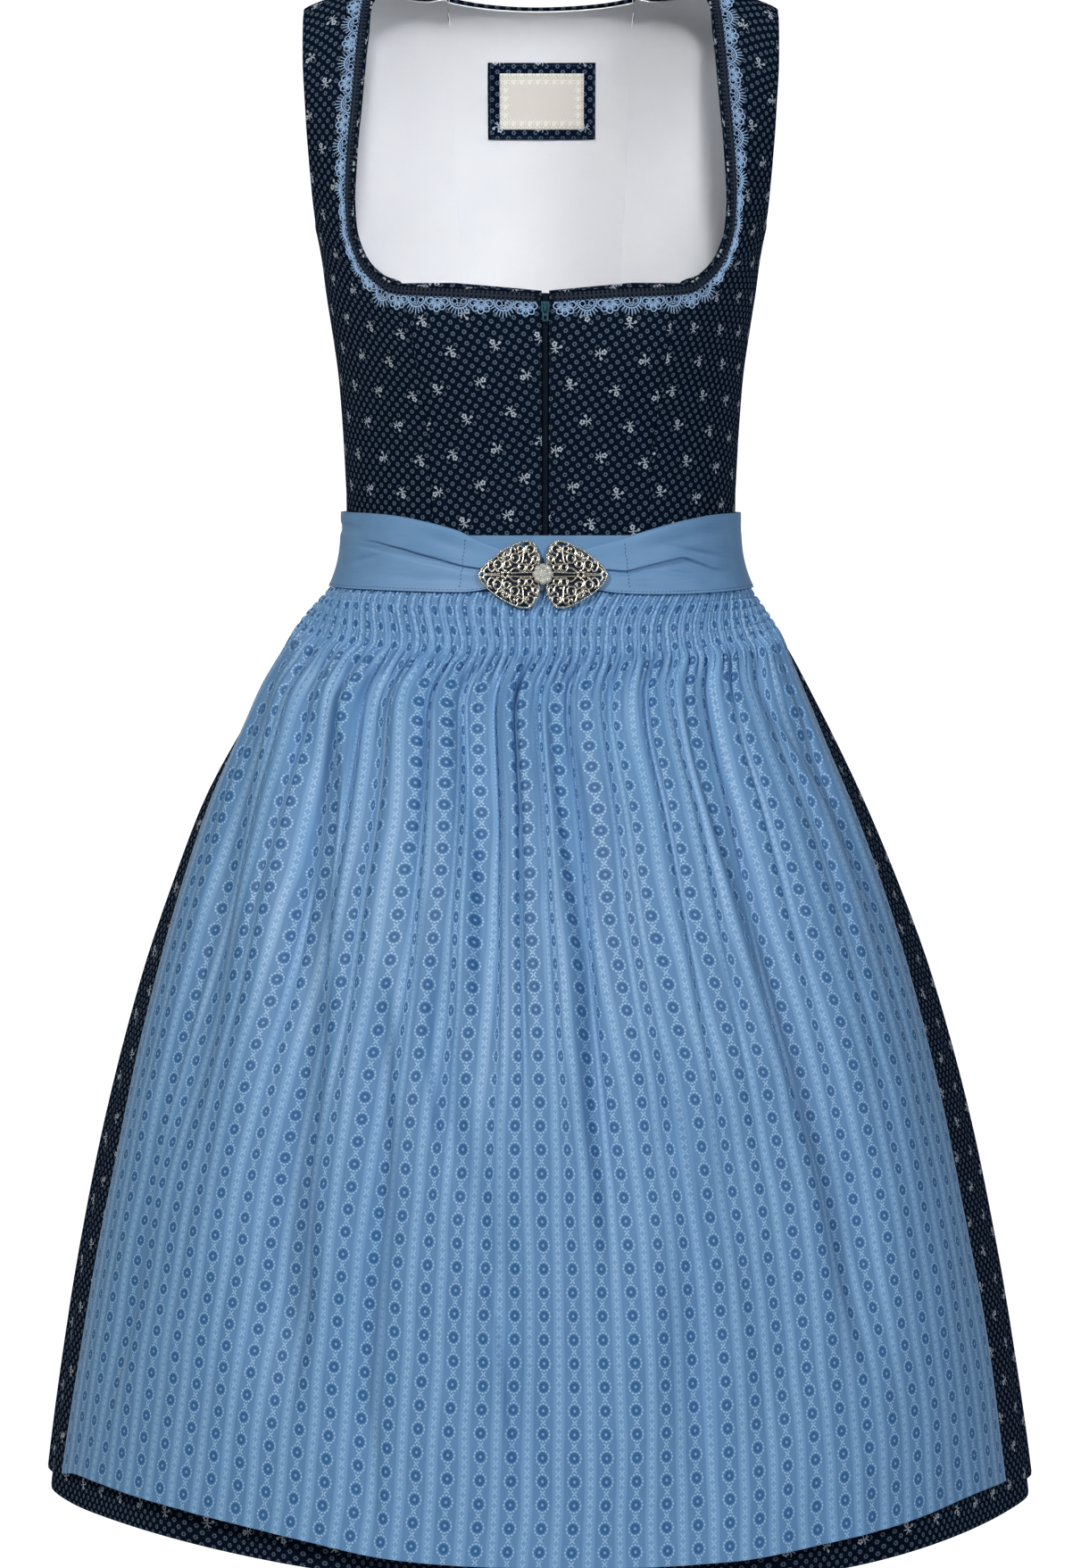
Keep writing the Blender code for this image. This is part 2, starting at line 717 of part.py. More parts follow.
def build_back():
    """The three back panels, and the lining cut like them that lies inside."""
    half = SEAM_GAP / 2
    behind = CLOTH + LINING_GAP
    side = drawn_in(side_back_rows(), half, half, half, half)
    lining = lined_rows(side_back_rows())
    for end, flip in (("_left", list), ("_right", mirrored)):
        bodice_panel("side_back" + end, flip(side))
        bodice_panel("side_back_lining" + end, flip(lining), LINING, "lining", behind)
    centre = drawn_in(centre_back_rows(), 0.0, half, half, half)
    bodice_panel("centre_back", centre)
    lining = drawn_in(centre_back_rows(), LINING_SET_DOWN, half, half, half)
    bodice_panel("centre_back_lining", lining, LINING, "lining", behind)


# Neck trim
def neck_path(clear):
    """The front neckline's edge from the shoulder to x = clear, on the +X side."""
    rows = [(k, row[0], row[1]) for k, row in enumerate(SIDE_FRONT[:PRINCESS_START + 1])]
    count = len(rows)
    rows.append((count, 45.0, 206.0))
    rows.append((count + 1, clear, CENTRE_FRONT_TOP))
    path = []
    for k in range(NECK_STEPS * (count + 1) + 1):
        x, drop = smooth(rows, k / NECK_STEPS)
        path.append(form_point(turn_at(x, drop), drop))
    return path


def evenly(path, step):
    """Points at an even spacing along a path, its ends included."""
    lengths = [0.0]
    for a, b in zip(path, path[1:]):
        lengths.append(lengths[-1] + (b - a).length)
    count = max(2, round(lengths[-1] / step))
    points = []
    k = 0
    for i in range(count + 1):
        at = lengths[-1] * i / count
        while k < len(path) - 2 and lengths[k + 1] < at:
            k += 1
        f = (at - lengths[k]) / (lengths[k + 1] - lengths[k])
        points.append(path[k].lerp(path[k + 1], min(f, 1.0)))
    return points


def neck_strip(path, step, near, far, rise):
    """A flat trim beside the neckline. far gives its outer border at each point."""
    points = [p for p in evenly(path, step) if -p.z > NECK_TRIM_START]
    lower = [[], []]
    upper = [[], []]
    for k, point in enumerate(points):
        along = points[min(k + 1, len(points) - 1)] - points[max(k - 1, 0)]
        normal = slope_of_form(point)
        aside = normal.cross(along).normalized()
        for border, distance in enumerate((far(k), near)):
            spot = settled(point + aside * distance, normal)
            out = slope_of_form(spot)
            lower[border].append(spot + out * NECK_TRIM_OUT)
            upper[border].append(spot + out * (NECK_TRIM_OUT + rise))
    return upper, lower


def scallop(k):
    """The lace's outer border, which falls back between its motifs."""
    wave = math.cos(2 * math.pi * k / LACE_STEPS_PER_MOTIF)
    return LACE_START + LACE_WIDTH - LACE_SCALLOP * (1 - wave) / 2


def build_neck_trim():
    clear = SLIDER_WIDTH / 2 + SEAM_GAP
    for end, centre, flip in (("_left", ZIP_X, list), ("_right", -ZIP_X, mirrored)):
        path = neck_path(centre + clear)
        outer, inner = neck_strip(path, BRAID_STEP, BRAID_START, lambda k: LACE_START - SEAM_GAP, BRAID_RISE)
        wall("neck_braid" + end, flip(outer), flip(inner), "braid")
        outer, inner = neck_strip(path, LACE_MOTIF / LACE_STEPS_PER_MOTIF, LACE_START, scallop, LACE_RISE)
        wall("neck_lace" + end, flip(outer), flip(inner), "lace")


# Zip
def build_zip():
    """The strip of tape and coil between the centre fronts, the slider and its tab."""
    drops = [CENTRE_FRONT_TOP + 1.0] + [row[1] for row in SIDE_FRONT[PRINCESS_START + 1:-1]]
    drops.append(WAIST_DROP - SEAM_GAP)
    outer, inner = [], []
    for drop in drops:
        turns = [turn_at(abs(x), drop) * (1 if x > 0 else -1)
                 for x in (ZIP_X - ZIP_HALF_WIDTH, ZIP_X, ZIP_X + ZIP_HALF_WIDTH)]
        outer.append([form_point(t, drop, -ZIP_SET_IN) for t in turns])
        inner.append([form_point(t, drop, -ZIP_SET_IN - ZIP_CLOTH) for t in turns])
    wall("zip_strip", outer, inner, "zip")
    face_y = form_point(turn_at(ZIP_X, SLIDER_DROP), SLIDER_DROP).y - SEAM_GAP
    build_slider(face_y)
    build_pull_tab(face_y)


def box(name, low, high, finish):
    verts = [(x, y, z) for z in (low[2], high[2]) for y in (low[1], high[1]) for x in (low[0], high[0])]
    faces = [(0, 2, 3, 1), (4, 5, 7, 6), (0, 1, 5, 4), (2, 6, 7, 3), (0, 4, 6, 2), (1, 3, 7, 5)]
    return new_object(name, verts, faces, finish)


def build_slider(face_y):
    """The slider's body, with the bail that the pull tab swings in."""
    front_y = face_y - SLIDER_THICKNESS
    half = SLIDER_WIDTH / 2
    body = box("zip_slider", (ZIP_X - half, front_y, -SLIDER_DROP - SLIDER_HEIGHT / 2),
               (ZIP_X + half, face_y, -SLIDER_DROP + SLIDER_HEIGHT / 2), "slider")
    bevel = body.modifiers.new("bevel", "BEVEL")
    bevel.width = SLIDER_BEVEL * MM
    bevel.segments = 2
    outline = bail_profile(0.0)
    hole = bail_profile(BAIL_BAR)
    verts, faces = [], []
    for x in (ZIP_X - BAIL_HALF_WIDTH, ZIP_X + BAIL_HALF_WIDTH):
        for loop in (outline, hole):
            verts.extend((x, front_y - y, -SLIDER_DROP + z) for y, z in loop)
    count = len(outline)
    for k in range(count):
        n = (k + 1) % count
        a, b, c, d = k, k + count, k + 2 * count, k + 3 * count
        an, bn, cn, dn = n, n + count, n + 2 * count, n + 3 * count
        faces += [(a, an, bn, b), (c, d, dn, cn), (a, c, cn, an), (b, bn, dn, d)]
    bail = new_object("bail", verts, faces, "slider")
    bail.hide_render = True
    bail.display_type = "WIRE"
    union = body.modifiers.new("bail", "BOOLEAN")
    union.operation = "UNION"
    union.object = bail


def bail_profile(inset):
    """The bail from the side, as (out from the slider's face, up) points."""
    reach = BAIL_REACH - inset
    low = BAIL_LOW + inset
    high = BAIL_HIGH - inset
    root = BAIL_ROOT + inset * 0.6
    return [
        (root, low), (root, high), (reach - BAIL_CORNER, high),
        (reach, high - BAIL_CORNER), (reach, low + BAIL_CORNER), (reach - BAIL_CORNER, low),
    ]


def build_pull_tab(face_y):
    """The pull tab, whose top bar turns about X inside the bail."""
    pivot = Vector((ZIP_X, face_y - SLIDER_THICKNESS - PIVOT_OUT, -SLIDER_DROP))
    half = TAB_WIDTH / 2
    bar = TAB_THICKNESS / 2
    end = bar - TAB_LENGTH
    outline = [
        (-half + TAB_EDGE, end), (half - TAB_EDGE, end), (half, end + TAB_EDGE),
        (half, bar - TAB_EDGE), (half - TAB_EDGE, bar), (-half + TAB_EDGE, bar),
        (-half, bar - TAB_EDGE), (-half, end + TAB_EDGE),
    ]
    holes = [[(-side, top), (side, top), (side, low), (-side, low)] for side, top, low in TAB_HOLES]

    def place(across, up, out):
        return Vector((across, TAB_THICKNESS / 2 - out, up))

    tab = plate("zip_pull_tab", outline, holes, place, TAB_THICKNESS, "slider")
    tab.location = pivot * MM


# Label
def build_label():
    depth = CLOTH + LINING_GAP + LINING + LABEL_GAP
    for name, (x_low, x_high, top, bottom), finish, behind in (
        ("label_patch", LABEL_PATCH, "print", depth),
        ("label", LABEL_PLAIN, "label", depth + LABEL_CLOTH + LABEL_GAP),
    ):
        outer, inner = [], []
        rows, columns = 2, 4
        for j in range(rows + 1):
            drop = top + (bottom - top) * j / rows
            xs = [x_high + (x_low - x_high) * i / columns for i in range(columns + 1)]
            turns = [BACK_TURN - math.copysign(turn_at(x, drop), x) for x in xs]
            outer.append([form_point(t, drop, -behind) for t in turns])
            inner.append([form_point(t, drop, -behind - LABEL_CLOTH) for t in turns])
        wall(name, outer, inner, finish)


# Skirt
def gather(share, count, drop):
    """How far the cloth falls back between gathers, 0 at the two side seams."""
    wandering = share + GATHER_WANDER / count * math.sin(2 * math.pi * 3 * share)
    wave = (1 - math.cos(2 * math.pi * count * wandering)) / 2
    uneven = 1 - GATHER_UNEVEN * math.sin(math.pi * 5 * share) ** 2
    return -smooth(GATHER_DEPTH, drop)[0] * wave * uneven


def skirt_panel(name, first_turn, levels, count, calm):
    """Half the skirt, from one side seam to the other."""
    steps = count * STEPS_PER_GATHER
    rows = []
    for drop in levels:
        row = []
        for i in range(steps + 1):
            share = i / steps
            turn = first_turn + BACK_TURN * share
            depth = gather(share, count, drop)
            if calm:
                depth *= eased(CALM_TURN, SIDE_TURN, abs(turn))
            row.append(form_point(turn, drop, depth))
        rows.append(row)
    half = SEAM_GAP / 2
    rows = drawn_in(rows, start=half, end=half)
    normals = grid_normals(rows)
    for line, drop in zip(normals, levels):
        line[0] = form_normal(first_turn, drop)
        line[-1] = form_normal(first_turn + BACK_TURN, drop)
    cloth_wall(name, rows, normals, CLOTH, "print")


# Apron
def apron_turn(share, drop):
    """The turn at a share of the apron's width, -1 at the wearer's right edge."""
    right, left = smooth(APRON_EDGES, drop)
    out = smooth(APRON_CLEARANCE, drop)[0]
    first = -turn_at(right, drop, out)
    last = turn_at(left, drop, out)
    return first + (last - first) * (share + 1) / 2


def trough_depth(share, drop):
    """The sum of the large troughs at one place of the apron."""
    total = 0.0
    for first, last, depth, half_width, steep, places in TROUGHS:
        strength = eased(first, first + TROUGH_FADE, drop) - eased(last - 2 * TROUGH_FADE, last, drop)
        if strength <= 0:
            continue
        place = smooth(tuple(zip(TROUGH_DROPS, places)), drop)[0]
        aside = (share - place) / half_width
        if steep:
            aside /= STEEP_SHARE if aside * steep > 0 else GENTLE_SHARE
        total += depth * strength * math.exp(-aside * aside)
    return total


def apron_out(share, drop):
    """How far the apron's outer face stands out from the skirt."""
    clearance = smooth(APRON_CLEARANCE, drop)[0]
    middle = 1 - abs(share) ** APRON_EDGE_POWER
    small = smooth(SMALL_FOLD_DEPTH, drop)[0]
    place = SMALL_FOLDS * (share + 0.04 * math.sin(5 * share)) / 2
    fine = small * (1 - math.cos(2 * math.pi * place)) / 2
    lift = smooth(APRON_LIFT, drop)[0] - trough_depth(share, drop)
    soft = math.log1p(math.exp(lift)) - math.log1p(math.exp(-6.0))
    folds = soft * eased(SMOCK_LEVELS[-1], APRON_LEVELS[1], drop)
    return clearance + APRON_CLOTH + middle * (folds + fine)


def build_apron():
    """One cut of cloth: smocked ribs at its head, folds below, plain inside."""
    outer, inner = [], []
    ribs = 2 * SMOCK_RIBS
    for drop in SMOCK_LEVELS:
        clearance = smooth(APRON_CLEARANCE, drop)[0]
        row = []
        for i in range(ribs + 1):
            share = 2 * i / ribs - 1
            rise = RIB_RISE if i % 2 else 0.0
            row.append(form_point(apron_turn(share, drop), drop, clearance + APRON_CLOTH + rise))
        outer.append(row)
    shares = [2 * i / APRON_STEPS - 1 for i in range(APRON_STEPS + 1)]
    for drop in SMOCK_LEVELS:
        clearance = smooth(APRON_CLEARANCE, drop)[0]
        inner.append([form_point(apron_turn(s, drop), drop, clearance) for s in shares])
    rows = []
    for drop in APRON_LEVELS[1:]:
        rows.append([form_point(apron_turn(s, drop), drop, apron_out(s, drop)) for s in shares])
    hem = []
    for share in shares:
        drop = APRON_HEM - APRON_HEM_RISE * share * share
        hem.append(form_point(apron_turn(share, drop), drop, apron_out(share, drop)))
    rows.append(hem)
    outer.extend(rows)
    inner.extend(moved_out(rows, grid_normals(rows), -APRON_CLOTH))
    wall("apron", outer, inner, "apron")


# Belt
def build_waistband():
    """The apron's own band, seen only above and beside the clasp."""
    outer, inner = [], []
    turns = [BELT_TURN_STEP * i for i in range(-WAISTBAND_STEPS, WAISTBAND_STEPS + 1)]
    for drop in WAISTBAND_DROPS:
        inner.append([form_point(t, drop, LAYER_GAP) for t in turns])
        outer.append([form_point(t, drop, LAYER_GAP + 1.0) for t in turns])
    wall("apron_waistband", outer, inner, "satin")


def belt_band(top_column):
    """One satin band from the clasp round to the centre back, on the +X side."""
    turns = [SIDE_TURN - BELT_TURN_STEP * i for i in range(BAND_FRONT_STEPS, 0, -1)]
    gap = math.degrees(SEAM_GAP / 2 / BACK_ROUND)
    span = BACK_TURN - gap - SIDE_TURN
    turns += [SIDE_TURN + span * i / BAND_BACK_STEPS for i in range(BAND_BACK_STEPS + 1)]
    outer, inner = [], []
    for f in BAND_ROWS:
        outer_row, inner_row = [], []
        for turn in turns:
            beside = form_point(turn, CLASP_DROP).x if turn < SIDE_TURN else BAND_SIDE_X
            edges = smooth(BAND_EDGES, beside)
            top, bottom = edges[top_column], edges[BOTTOM]
            drop = top + (bottom - top) * f
            pleat, rise = smooth(BAND_PLEAT, beside)
            away = (drop - pleat) / PLEAT_HALF_WIDTH
            puff = rise * (1 - math.exp(-away * away)) * math.sin(math.pi * f) ** 0.5
            rest = BAND_OUT_FRONT + (BAND_OUT_BACK - BAND_OUT_FRONT) * eased(*BAND_EASE, turn)
            inner_row.append(form_point(turn, drop, rest + puff))
            outer_row.append(form_point(turn, drop, rest + puff + SATIN))
        outer.append(outer_row)
        inner.append(inner_row)
    return outer, inner


def build_belt():
    build_waistband()
    outer, inner = belt_band(LEFT_TOP)
    wall("belt_left", outer, inner, "satin")
    outer, inner = belt_band(RIGHT_TOP)
    wall("belt_right", mirrored(outer), mirrored(inner), "satin")


# Clasp
def on_clasp(x, up, out):
    """A point of the clasp, which is round with the waist and leans in towards its top."""
    turn = math.copysign(turn_at(x, CLASP_DROP, CLASP_OUT), x)
    outward = form_normal(turn, CLASP_DROP)
    outward.z = 0.0
    outward.normalize()
    lean = math.radians(CLASP_TILT)
    upward = Vector((0, 0, math.cos(lean))) - outward * math.sin(lean)
    forward = Vector((0, 0, math.sin(lean))) + outward * math.cos(lean)
    return form_point(turn, CLASP_DROP) + outward * CLASP_OUT + upward * up + forward * out


def build_clasp():
    holes = []
    for across, up, radius in CLASP_HOLES:
        angles = [2 * math.pi * k / CLASP_HOLE_SIDES for k in range(CLASP_HOLE_SIDES)]
        holes.append([(across + radius * math.cos(a), up + radius * math.sin(a)) for a in angles])
    for name, side in (("clasp_left", 1), ("clasp_right", -1)):
        outline = [(CLASP_X + side * across, up) for across, up in CLASP_OUTLINE]
        pierced = [[(CLASP_X + side * across, up) for across, up in hole] for hole in holes]
        plate(name, outline, pierced, on_clasp, CLASP_THICKNESS, "silver")
    build_rosette()


def build_rosette():
    """The glass flower that hides the hook between the two leaves."""
    count = ROSETTE_STEPS * ROSETTE_LOBES
    back = CLASP_THICKNESS + ROSETTE_GAP
    verts = []
    for share, out in ROSETTE_PROFILE:
        for k in range(count):
            angle = 2 * math.pi * k / count
            radius = ROSETTE_RADIUS * share * (1 + ROSETTE_LOBE_RISE * math.cos(ROSETTE_LOBES * angle))
            verts.append(on_clasp(CLASP_X + radius * math.cos(angle), radius * math.sin(angle), back + out))
    levels = len(ROSETTE_PROFILE)
    faces = [tuple(reversed(range(count))), tuple(range((levels - 1) * count, levels * count))]
    for level in range(levels - 1):
        for k in range(count):
            n = (k + 1) % count
            a, b = level * count, (level + 1) * count
            faces.append((a + k, a + n, b + n, b + k))
    new_object("clasp_rosette", verts, faces, "glass")


build_bodice()
build_neck_trim()
build_zip()
build_label()
skirt_panel("skirt_front", -SIDE_TURN, FRONT_LEVELS, FRONT_GATHERS, True)
skirt_panel("skirt_back", SIDE_TURN, BACK_LEVELS, BACK_GATHERS, False)
build_apron()
build_belt()
build_clasp()
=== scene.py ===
"""The looks of a dirndl as it hangs on an unseen wearer.

Tables and places are in millimetres and degrees, as in the model's own source. A drop
is a distance below the neck ends of the shoulder seams. A turn goes round the body from
0 at the centre front through 90 at +X to 180 at the centre back. Out is a distance from
the outer face of the bodice and the skirt. Grids of points have rows that run down, and
each row runs towards a larger turn."""

import math

import bmesh
import bpy
import numpy as np
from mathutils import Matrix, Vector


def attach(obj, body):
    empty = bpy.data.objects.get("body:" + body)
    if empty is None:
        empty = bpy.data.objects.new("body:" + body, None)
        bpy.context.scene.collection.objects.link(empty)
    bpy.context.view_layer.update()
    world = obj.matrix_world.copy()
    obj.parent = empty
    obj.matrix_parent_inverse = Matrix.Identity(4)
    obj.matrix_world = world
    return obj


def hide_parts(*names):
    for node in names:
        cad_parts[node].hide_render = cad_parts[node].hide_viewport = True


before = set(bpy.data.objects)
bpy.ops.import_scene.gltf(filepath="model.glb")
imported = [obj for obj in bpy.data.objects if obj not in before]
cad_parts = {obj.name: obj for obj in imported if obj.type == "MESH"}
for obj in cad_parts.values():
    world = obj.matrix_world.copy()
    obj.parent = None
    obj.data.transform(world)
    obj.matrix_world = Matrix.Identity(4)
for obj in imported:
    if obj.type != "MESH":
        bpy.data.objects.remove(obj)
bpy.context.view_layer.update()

# Studio
# The dress is seen from straight ahead and a little from above, through a long lens. A
# sweep of white paper runs under and behind it, and two large soft boxes light it. The
# first is flagged off the white lining, which has a small light of its own.
MM = 0.001
CAMERA_AT = (0.0024, -3.300, -0.3075)
CAMERA_TIPS_DOWN = 3.94
FOCAL_LENGTH_IN_PIXELS = 5513
PHOTO_HEIGHT = 1757
SENSOR = 36.0
ROOM_LIGHT = 0.14
PAPER = "#f7f7f8"
PAPER_GLOW = 0.62
PAPER_FLOOR = -2.1
PAPER_WALL_AT = 3.2
PAPER_BEND = 1.4
PAPER_TOP = 3.5
PAPER_FRONT = -1.4
PAPER_HALF_WIDTH = 1.5


def linear(colour):
    """An sRGB hex colour as linear red, green, blue and alpha."""
    parts = [int(colour[k:k + 2], 16) / 255 for k in (1, 3, 5)]
    return tuple(p / 12.92 if p <= 0.04045 else ((p + 0.055) / 1.055) ** 2.4 for p in parts) + (1.0,)


def new_material(name, **values):
    """A material whose shader sockets are set straight to values that don't vary."""
    material = bpy.data.materials.new(name)
    material.use_nodes = True
    shader = material.node_tree.nodes["Principled BSDF"]
    for socket, value in values.items():
        shader.inputs[socket.replace("_", " ")].default_value = value
    return material, material.node_tree, shader


def new_object(name, points, faces, material):
    """A smooth-shaded mesh object from points in metres."""
    mesh = bpy.data.meshes.new(name)
    mesh.from_pydata(np.asarray(points).tolist(), [], faces)
    mesh.shade_smooth()
    mesh.materials.append(material)
    obj = bpy.data.objects.new(name, mesh)
    bpy.context.scene.collection.objects.link(obj)
    return obj


def soft_box(name, place, target, size, watts, colour, spread=180):
    """A round soft box at a place, turned to a target."""
    light = bpy.data.lights.new(name, "AREA")
    light.shape = "DISK"
    light.size = size
    light.energy = watts
    light.spread = math.radians(spread)
    light.color = linear(colour)[:3]
    obj = bpy.data.objects.new(name, light)
    obj.location = place
    obj.rotation_euler = (Vector(target) - Vector(place)).to_track_quat("-Z", "Y").to_euler()
    bpy.context.scene.collection.objects.link(obj)
    return obj


camera = bpy.data.objects.new("camera", bpy.data.cameras.new("camera"))
camera.data.sensor_width = SENSOR
camera.data.lens = SENSOR * FOCAL_LENGTH_IN_PIXELS / PHOTO_HEIGHT
camera.location = CAMERA_AT
camera.rotation_euler = (math.radians(90 - CAMERA_TIPS_DOWN), 0, 0)
bpy.context.scene.collection.objects.link(camera)
bpy.context.scene.camera = camera
bpy.context.scene.view_settings.view_transform = "Standard"

room = bpy.data.worlds.new("room")
room.use_nodes = True
room.node_tree.nodes["Background"].inputs["Color"].default_value = linear("#ffffff")
room.node_tree.nodes["Background"].inputs["Strength"].default_value = ROOM_LIGHT
bpy.context.scene.world = room
key_light = soft_box("key_light", (-1.6, -2.5, 1.5), target=(0, 0, -0.4), size=0.7, watts=70,
                     colour="#fffaf4")
soft_box("fill_light", (1.9, -2.6, 0.9), target=(0, 0, -0.5), size=1.0, watts=42, colour="#f6f9ff")
neck_light = soft_box("neck_light", (0.1, -2.2, 1.2), target=(0, 0.08, -0.13), size=0.4, watts=0.36,
                      colour="#ffffff", spread=10)

paper, _, paper_shader = new_material("matt paper sweep", Roughness=1.0)
paper_shader.inputs["Base Color"].default_value = linear(PAPER)
paper_shader.inputs["Emission Color"].default_value = linear(PAPER)
paper_shader.inputs["Emission Strength"].default_value = PAPER_GLOW
bend = np.linspace(0, math.pi / 2, 17)
profile = [(PAPER_FRONT, PAPER_FLOOR)]
profile += [(PAPER_WALL_AT - PAPER_BEND * (1 - math.sin(a)), PAPER_FLOOR + PAPER_BEND * (1 - math.cos(a)))
            for a in bend]
profile.append((PAPER_WALL_AT, PAPER_TOP))
sweep_points = [(x, y, z) for y, z in profile for x in (-PAPER_HALF_WIDTH, PAPER_HALF_WIDTH)]
sweep_faces = [(2 * k, 2 * k + 1, 2 * k + 3, 2 * k + 2) for k in range(len(profile) - 1)]
sweep = new_object("paper_sweep", sweep_points, sweep_faces, paper)

# Bodice
# Seven panels of a small navy print, cut to the figure and sewn edge to edge: two centre
# fronts beside the zip, two side fronts with the straps, two side backs and a centre back.
# Each seam sinks a little where its allowances are turned in.
CLOTH = 1.2
FORM = (
    # drop, half width, front depth, back depth, squareness
    (0.0, 110.0, 0.0, 0.0, 2.3),
    (2.0, 117.0, 14.0, 31.0, 2.3),
    (6.0, 128.5, 24.0, 50.0, 2.3),
    (12.0, 144.0, 33.0, 64.0, 2.3),
    (18.0, 157.4, 40.0, 72.0, 2.3),
    (30.0, 167.5, 50.0, 80.0, 2.3),
    (55.0, 172.5, 66.0, 87.0, 2.3),
    (95.0, 167.0, 89.0, 94.0, 2.3),
    (140.0, 156.5, 111.0, 97.0, 2.3),
    (163.0, 150.5, 119.5, 97.0, 2.3),
    (183.0, 146.5, 124.0, 96.0, 2.3),
    (207.0, 143.3, 126.5, 94.0, 2.3),
    (234.0, 138.9, 127.0, 91.0, 2.3),
    (260.0, 135.1, 123.5, 87.5, 2.3),
    (284.0, 133.1, 117.5, 84.0, 2.3),
    (322.0, 131.0, 107.0, 79.5, 2.3),
    (351.0, 130.0, 101.0, 77.8, 2.3),
    (380.0, 131.2, 99.5, 79.0, 2.3),
    (404.0, 137.5, 103.5, 86.0, 2.25),
    (440.0, 160.5, 119.5, 107.0, 2.2),
    (485.0, 184.5, 143.0, 134.0, 2.15),
    (547.0, 217.0, 176.0, 168.0, 2.1),
    (609.0, 244.0, 203.0, 196.0, 2.1),
    (668.0, 265.5, 223.0, 216.0, 2.1),
    (759.0, 291.5, 247.0, 240.0, 2.1),
    (850.0, 311.0, 263.0, 256.0, 2.1),
    (935.0, 324.5, 275.0, 267.5, 2.1),
    (1016.0, 335.0, 284.0, 277.0, 2.1),
)
FORM_BY_ROOT = [(math.sqrt(row[0]),) + row[1:] for row in FORM]
BUST_TURN = 34.0
BUST_DROP = 238.0
BUST_SPREAD_TURN = 17.0
BUST_SPREAD_DROP = 42.0
BUST_RISE = 0.055
WAIST_DROP = 380.0
SIDE_FRONT = (
    # neck or princess x, its drop, armhole or side x, its drop
    (110.0, 0.0, 157.4, 18.0),
    (110.1, 2.0, 157.6, 20.5),
    (110.2, 6.5, 157.7, 26.0),
    (110.4, 15.0, 157.7, 35.0),
    (112.4, 31.0, 157.6, 49.0),
    (114.6, 56.0, 157.0, 68.0),
    (117.0, 85.0, 155.8, 88.0),
    (119.6, 111.0, 154.3, 110.0),
    (121.4, 136.0, 152.7, 129.0),
    (121.6, 154.0, 151.5, 143.0),
    (119.8, 171.0, 150.6, 153.0),
    (113.0, 187.0, 150.1, 160.0),
    (102.5, 197.5, 150.0, 165.0),
    (90.0, 203.3, None, 176.0),
    (86.0, 222.0, None, 200.0),
    (82.0, 247.0, None, 232.0),
    (77.5, 276.0, None, 268.0),
    (73.5, 304.0, None, 302.0),
    (72.0, 331.0, None, 330.0),
    (71.2, 356.0, None, 356.0),
    (71.0, WAIST_DROP, None, WAIST_DROP),
)
SIDE_BACK = (
    # neck or princess x, its drop, armhole or side x, its drop
    (110.0, 0.0, 157.4, 18.0),
    (107.5, 1.0, 157.6, 19.5),
    (103.0, 2.3, 157.6, 23.0),
    (95.0, 3.6, 157.3, 29.0),
    (84.0, 4.7, 156.6, 38.0),
    (73.0, 5.4, 155.2, 50.0),
    (62.0, 6.0, 153.4, 64.0),
    (61.5, 24.0, 151.5, 82.0),
    (60.5, 52.0, 149.8, 103.0),
    (59.5, 86.0, 148.9, 126.0),
    (58.5, 120.0, 149.0, 147.0),
    (57.0, 154.0, 150.0, 165.0),
    (55.5, 188.0, None, 190.0),
    (53.5, 225.0, None, 226.0),
    (51.5, 262.0, None, 262.0),
    (49.5, 298.0, None, 298.0),
    (48.6, 330.0, None, 330.0),
    (48.1, 356.0, None, 356.0),
    (48.0, WAIST_DROP, None, WAIST_DROP),
)
CENTRE_FRONT_TOP = 208.5
PRINCESS_START = 13
BACK_PRINCESS_START = 6
BACK_NECK_DIP = 5.5
BACK_DIP_FADE = 60.0
ZIP_X = 2.9
ZIP_HALF_WIDTH = 1.9
SEAM_GAP = 0.3
ROW_SPLIT = 7
PANEL_COLUMNS = 30
SIDE_PANEL_WIDTH = 60.0
FRONT_PANEL_WIDTH = 70.0
BACK_PANEL_WIDTH = 110.0
SEAM_COLUMNS = (0.0, 0.4, 0.9, 1.6, 2.8)
SEAM_SINKS = 0.45
SEAM_WIDTH = 1.0
WAVES = ((0.16, 9.0, 23.0, 0.0), (0.14, 5.3, -31.0, 1.7))
CREASES = (
    # turn, drop, half length as a turn, half width as a drop, depth, tilt
    (62.0, 349.0, 16.0, 2.6, 0.55, 0.10),
    (70.0, 340.0, 14.0, 2.8, 0.45, -0.12),
    (54.0, 333.0, 12.0, 3.4, 0.30, 0.20),
    (-60.0, 351.0, 17.0, 2.4, 0.60, -0.08),
    (-68.0, 342.0, 15.0, 2.8, 0.45, 0.12),
    (-52.0, 334.0, 12.0, 3.2, 0.30, -0.16),
    (-38.0, 218.0, 7.0, 5.0, 0.40, 0.60),
    (38.0, 219.0, 7.0, 5.0, 0.40, -0.60),
    (118.0, 344.0, 18.0, 3.0, 0.50, 0.10),
    (-121.0, 346.0, 17.0, 3.0, 0.50, -0.10),
    (140.0, 352.0, 15.0, 2.6, 0.45, -0.08),
    (-146.0, 350.0, 15.0, 2.6, 0.45, 0.06),
)


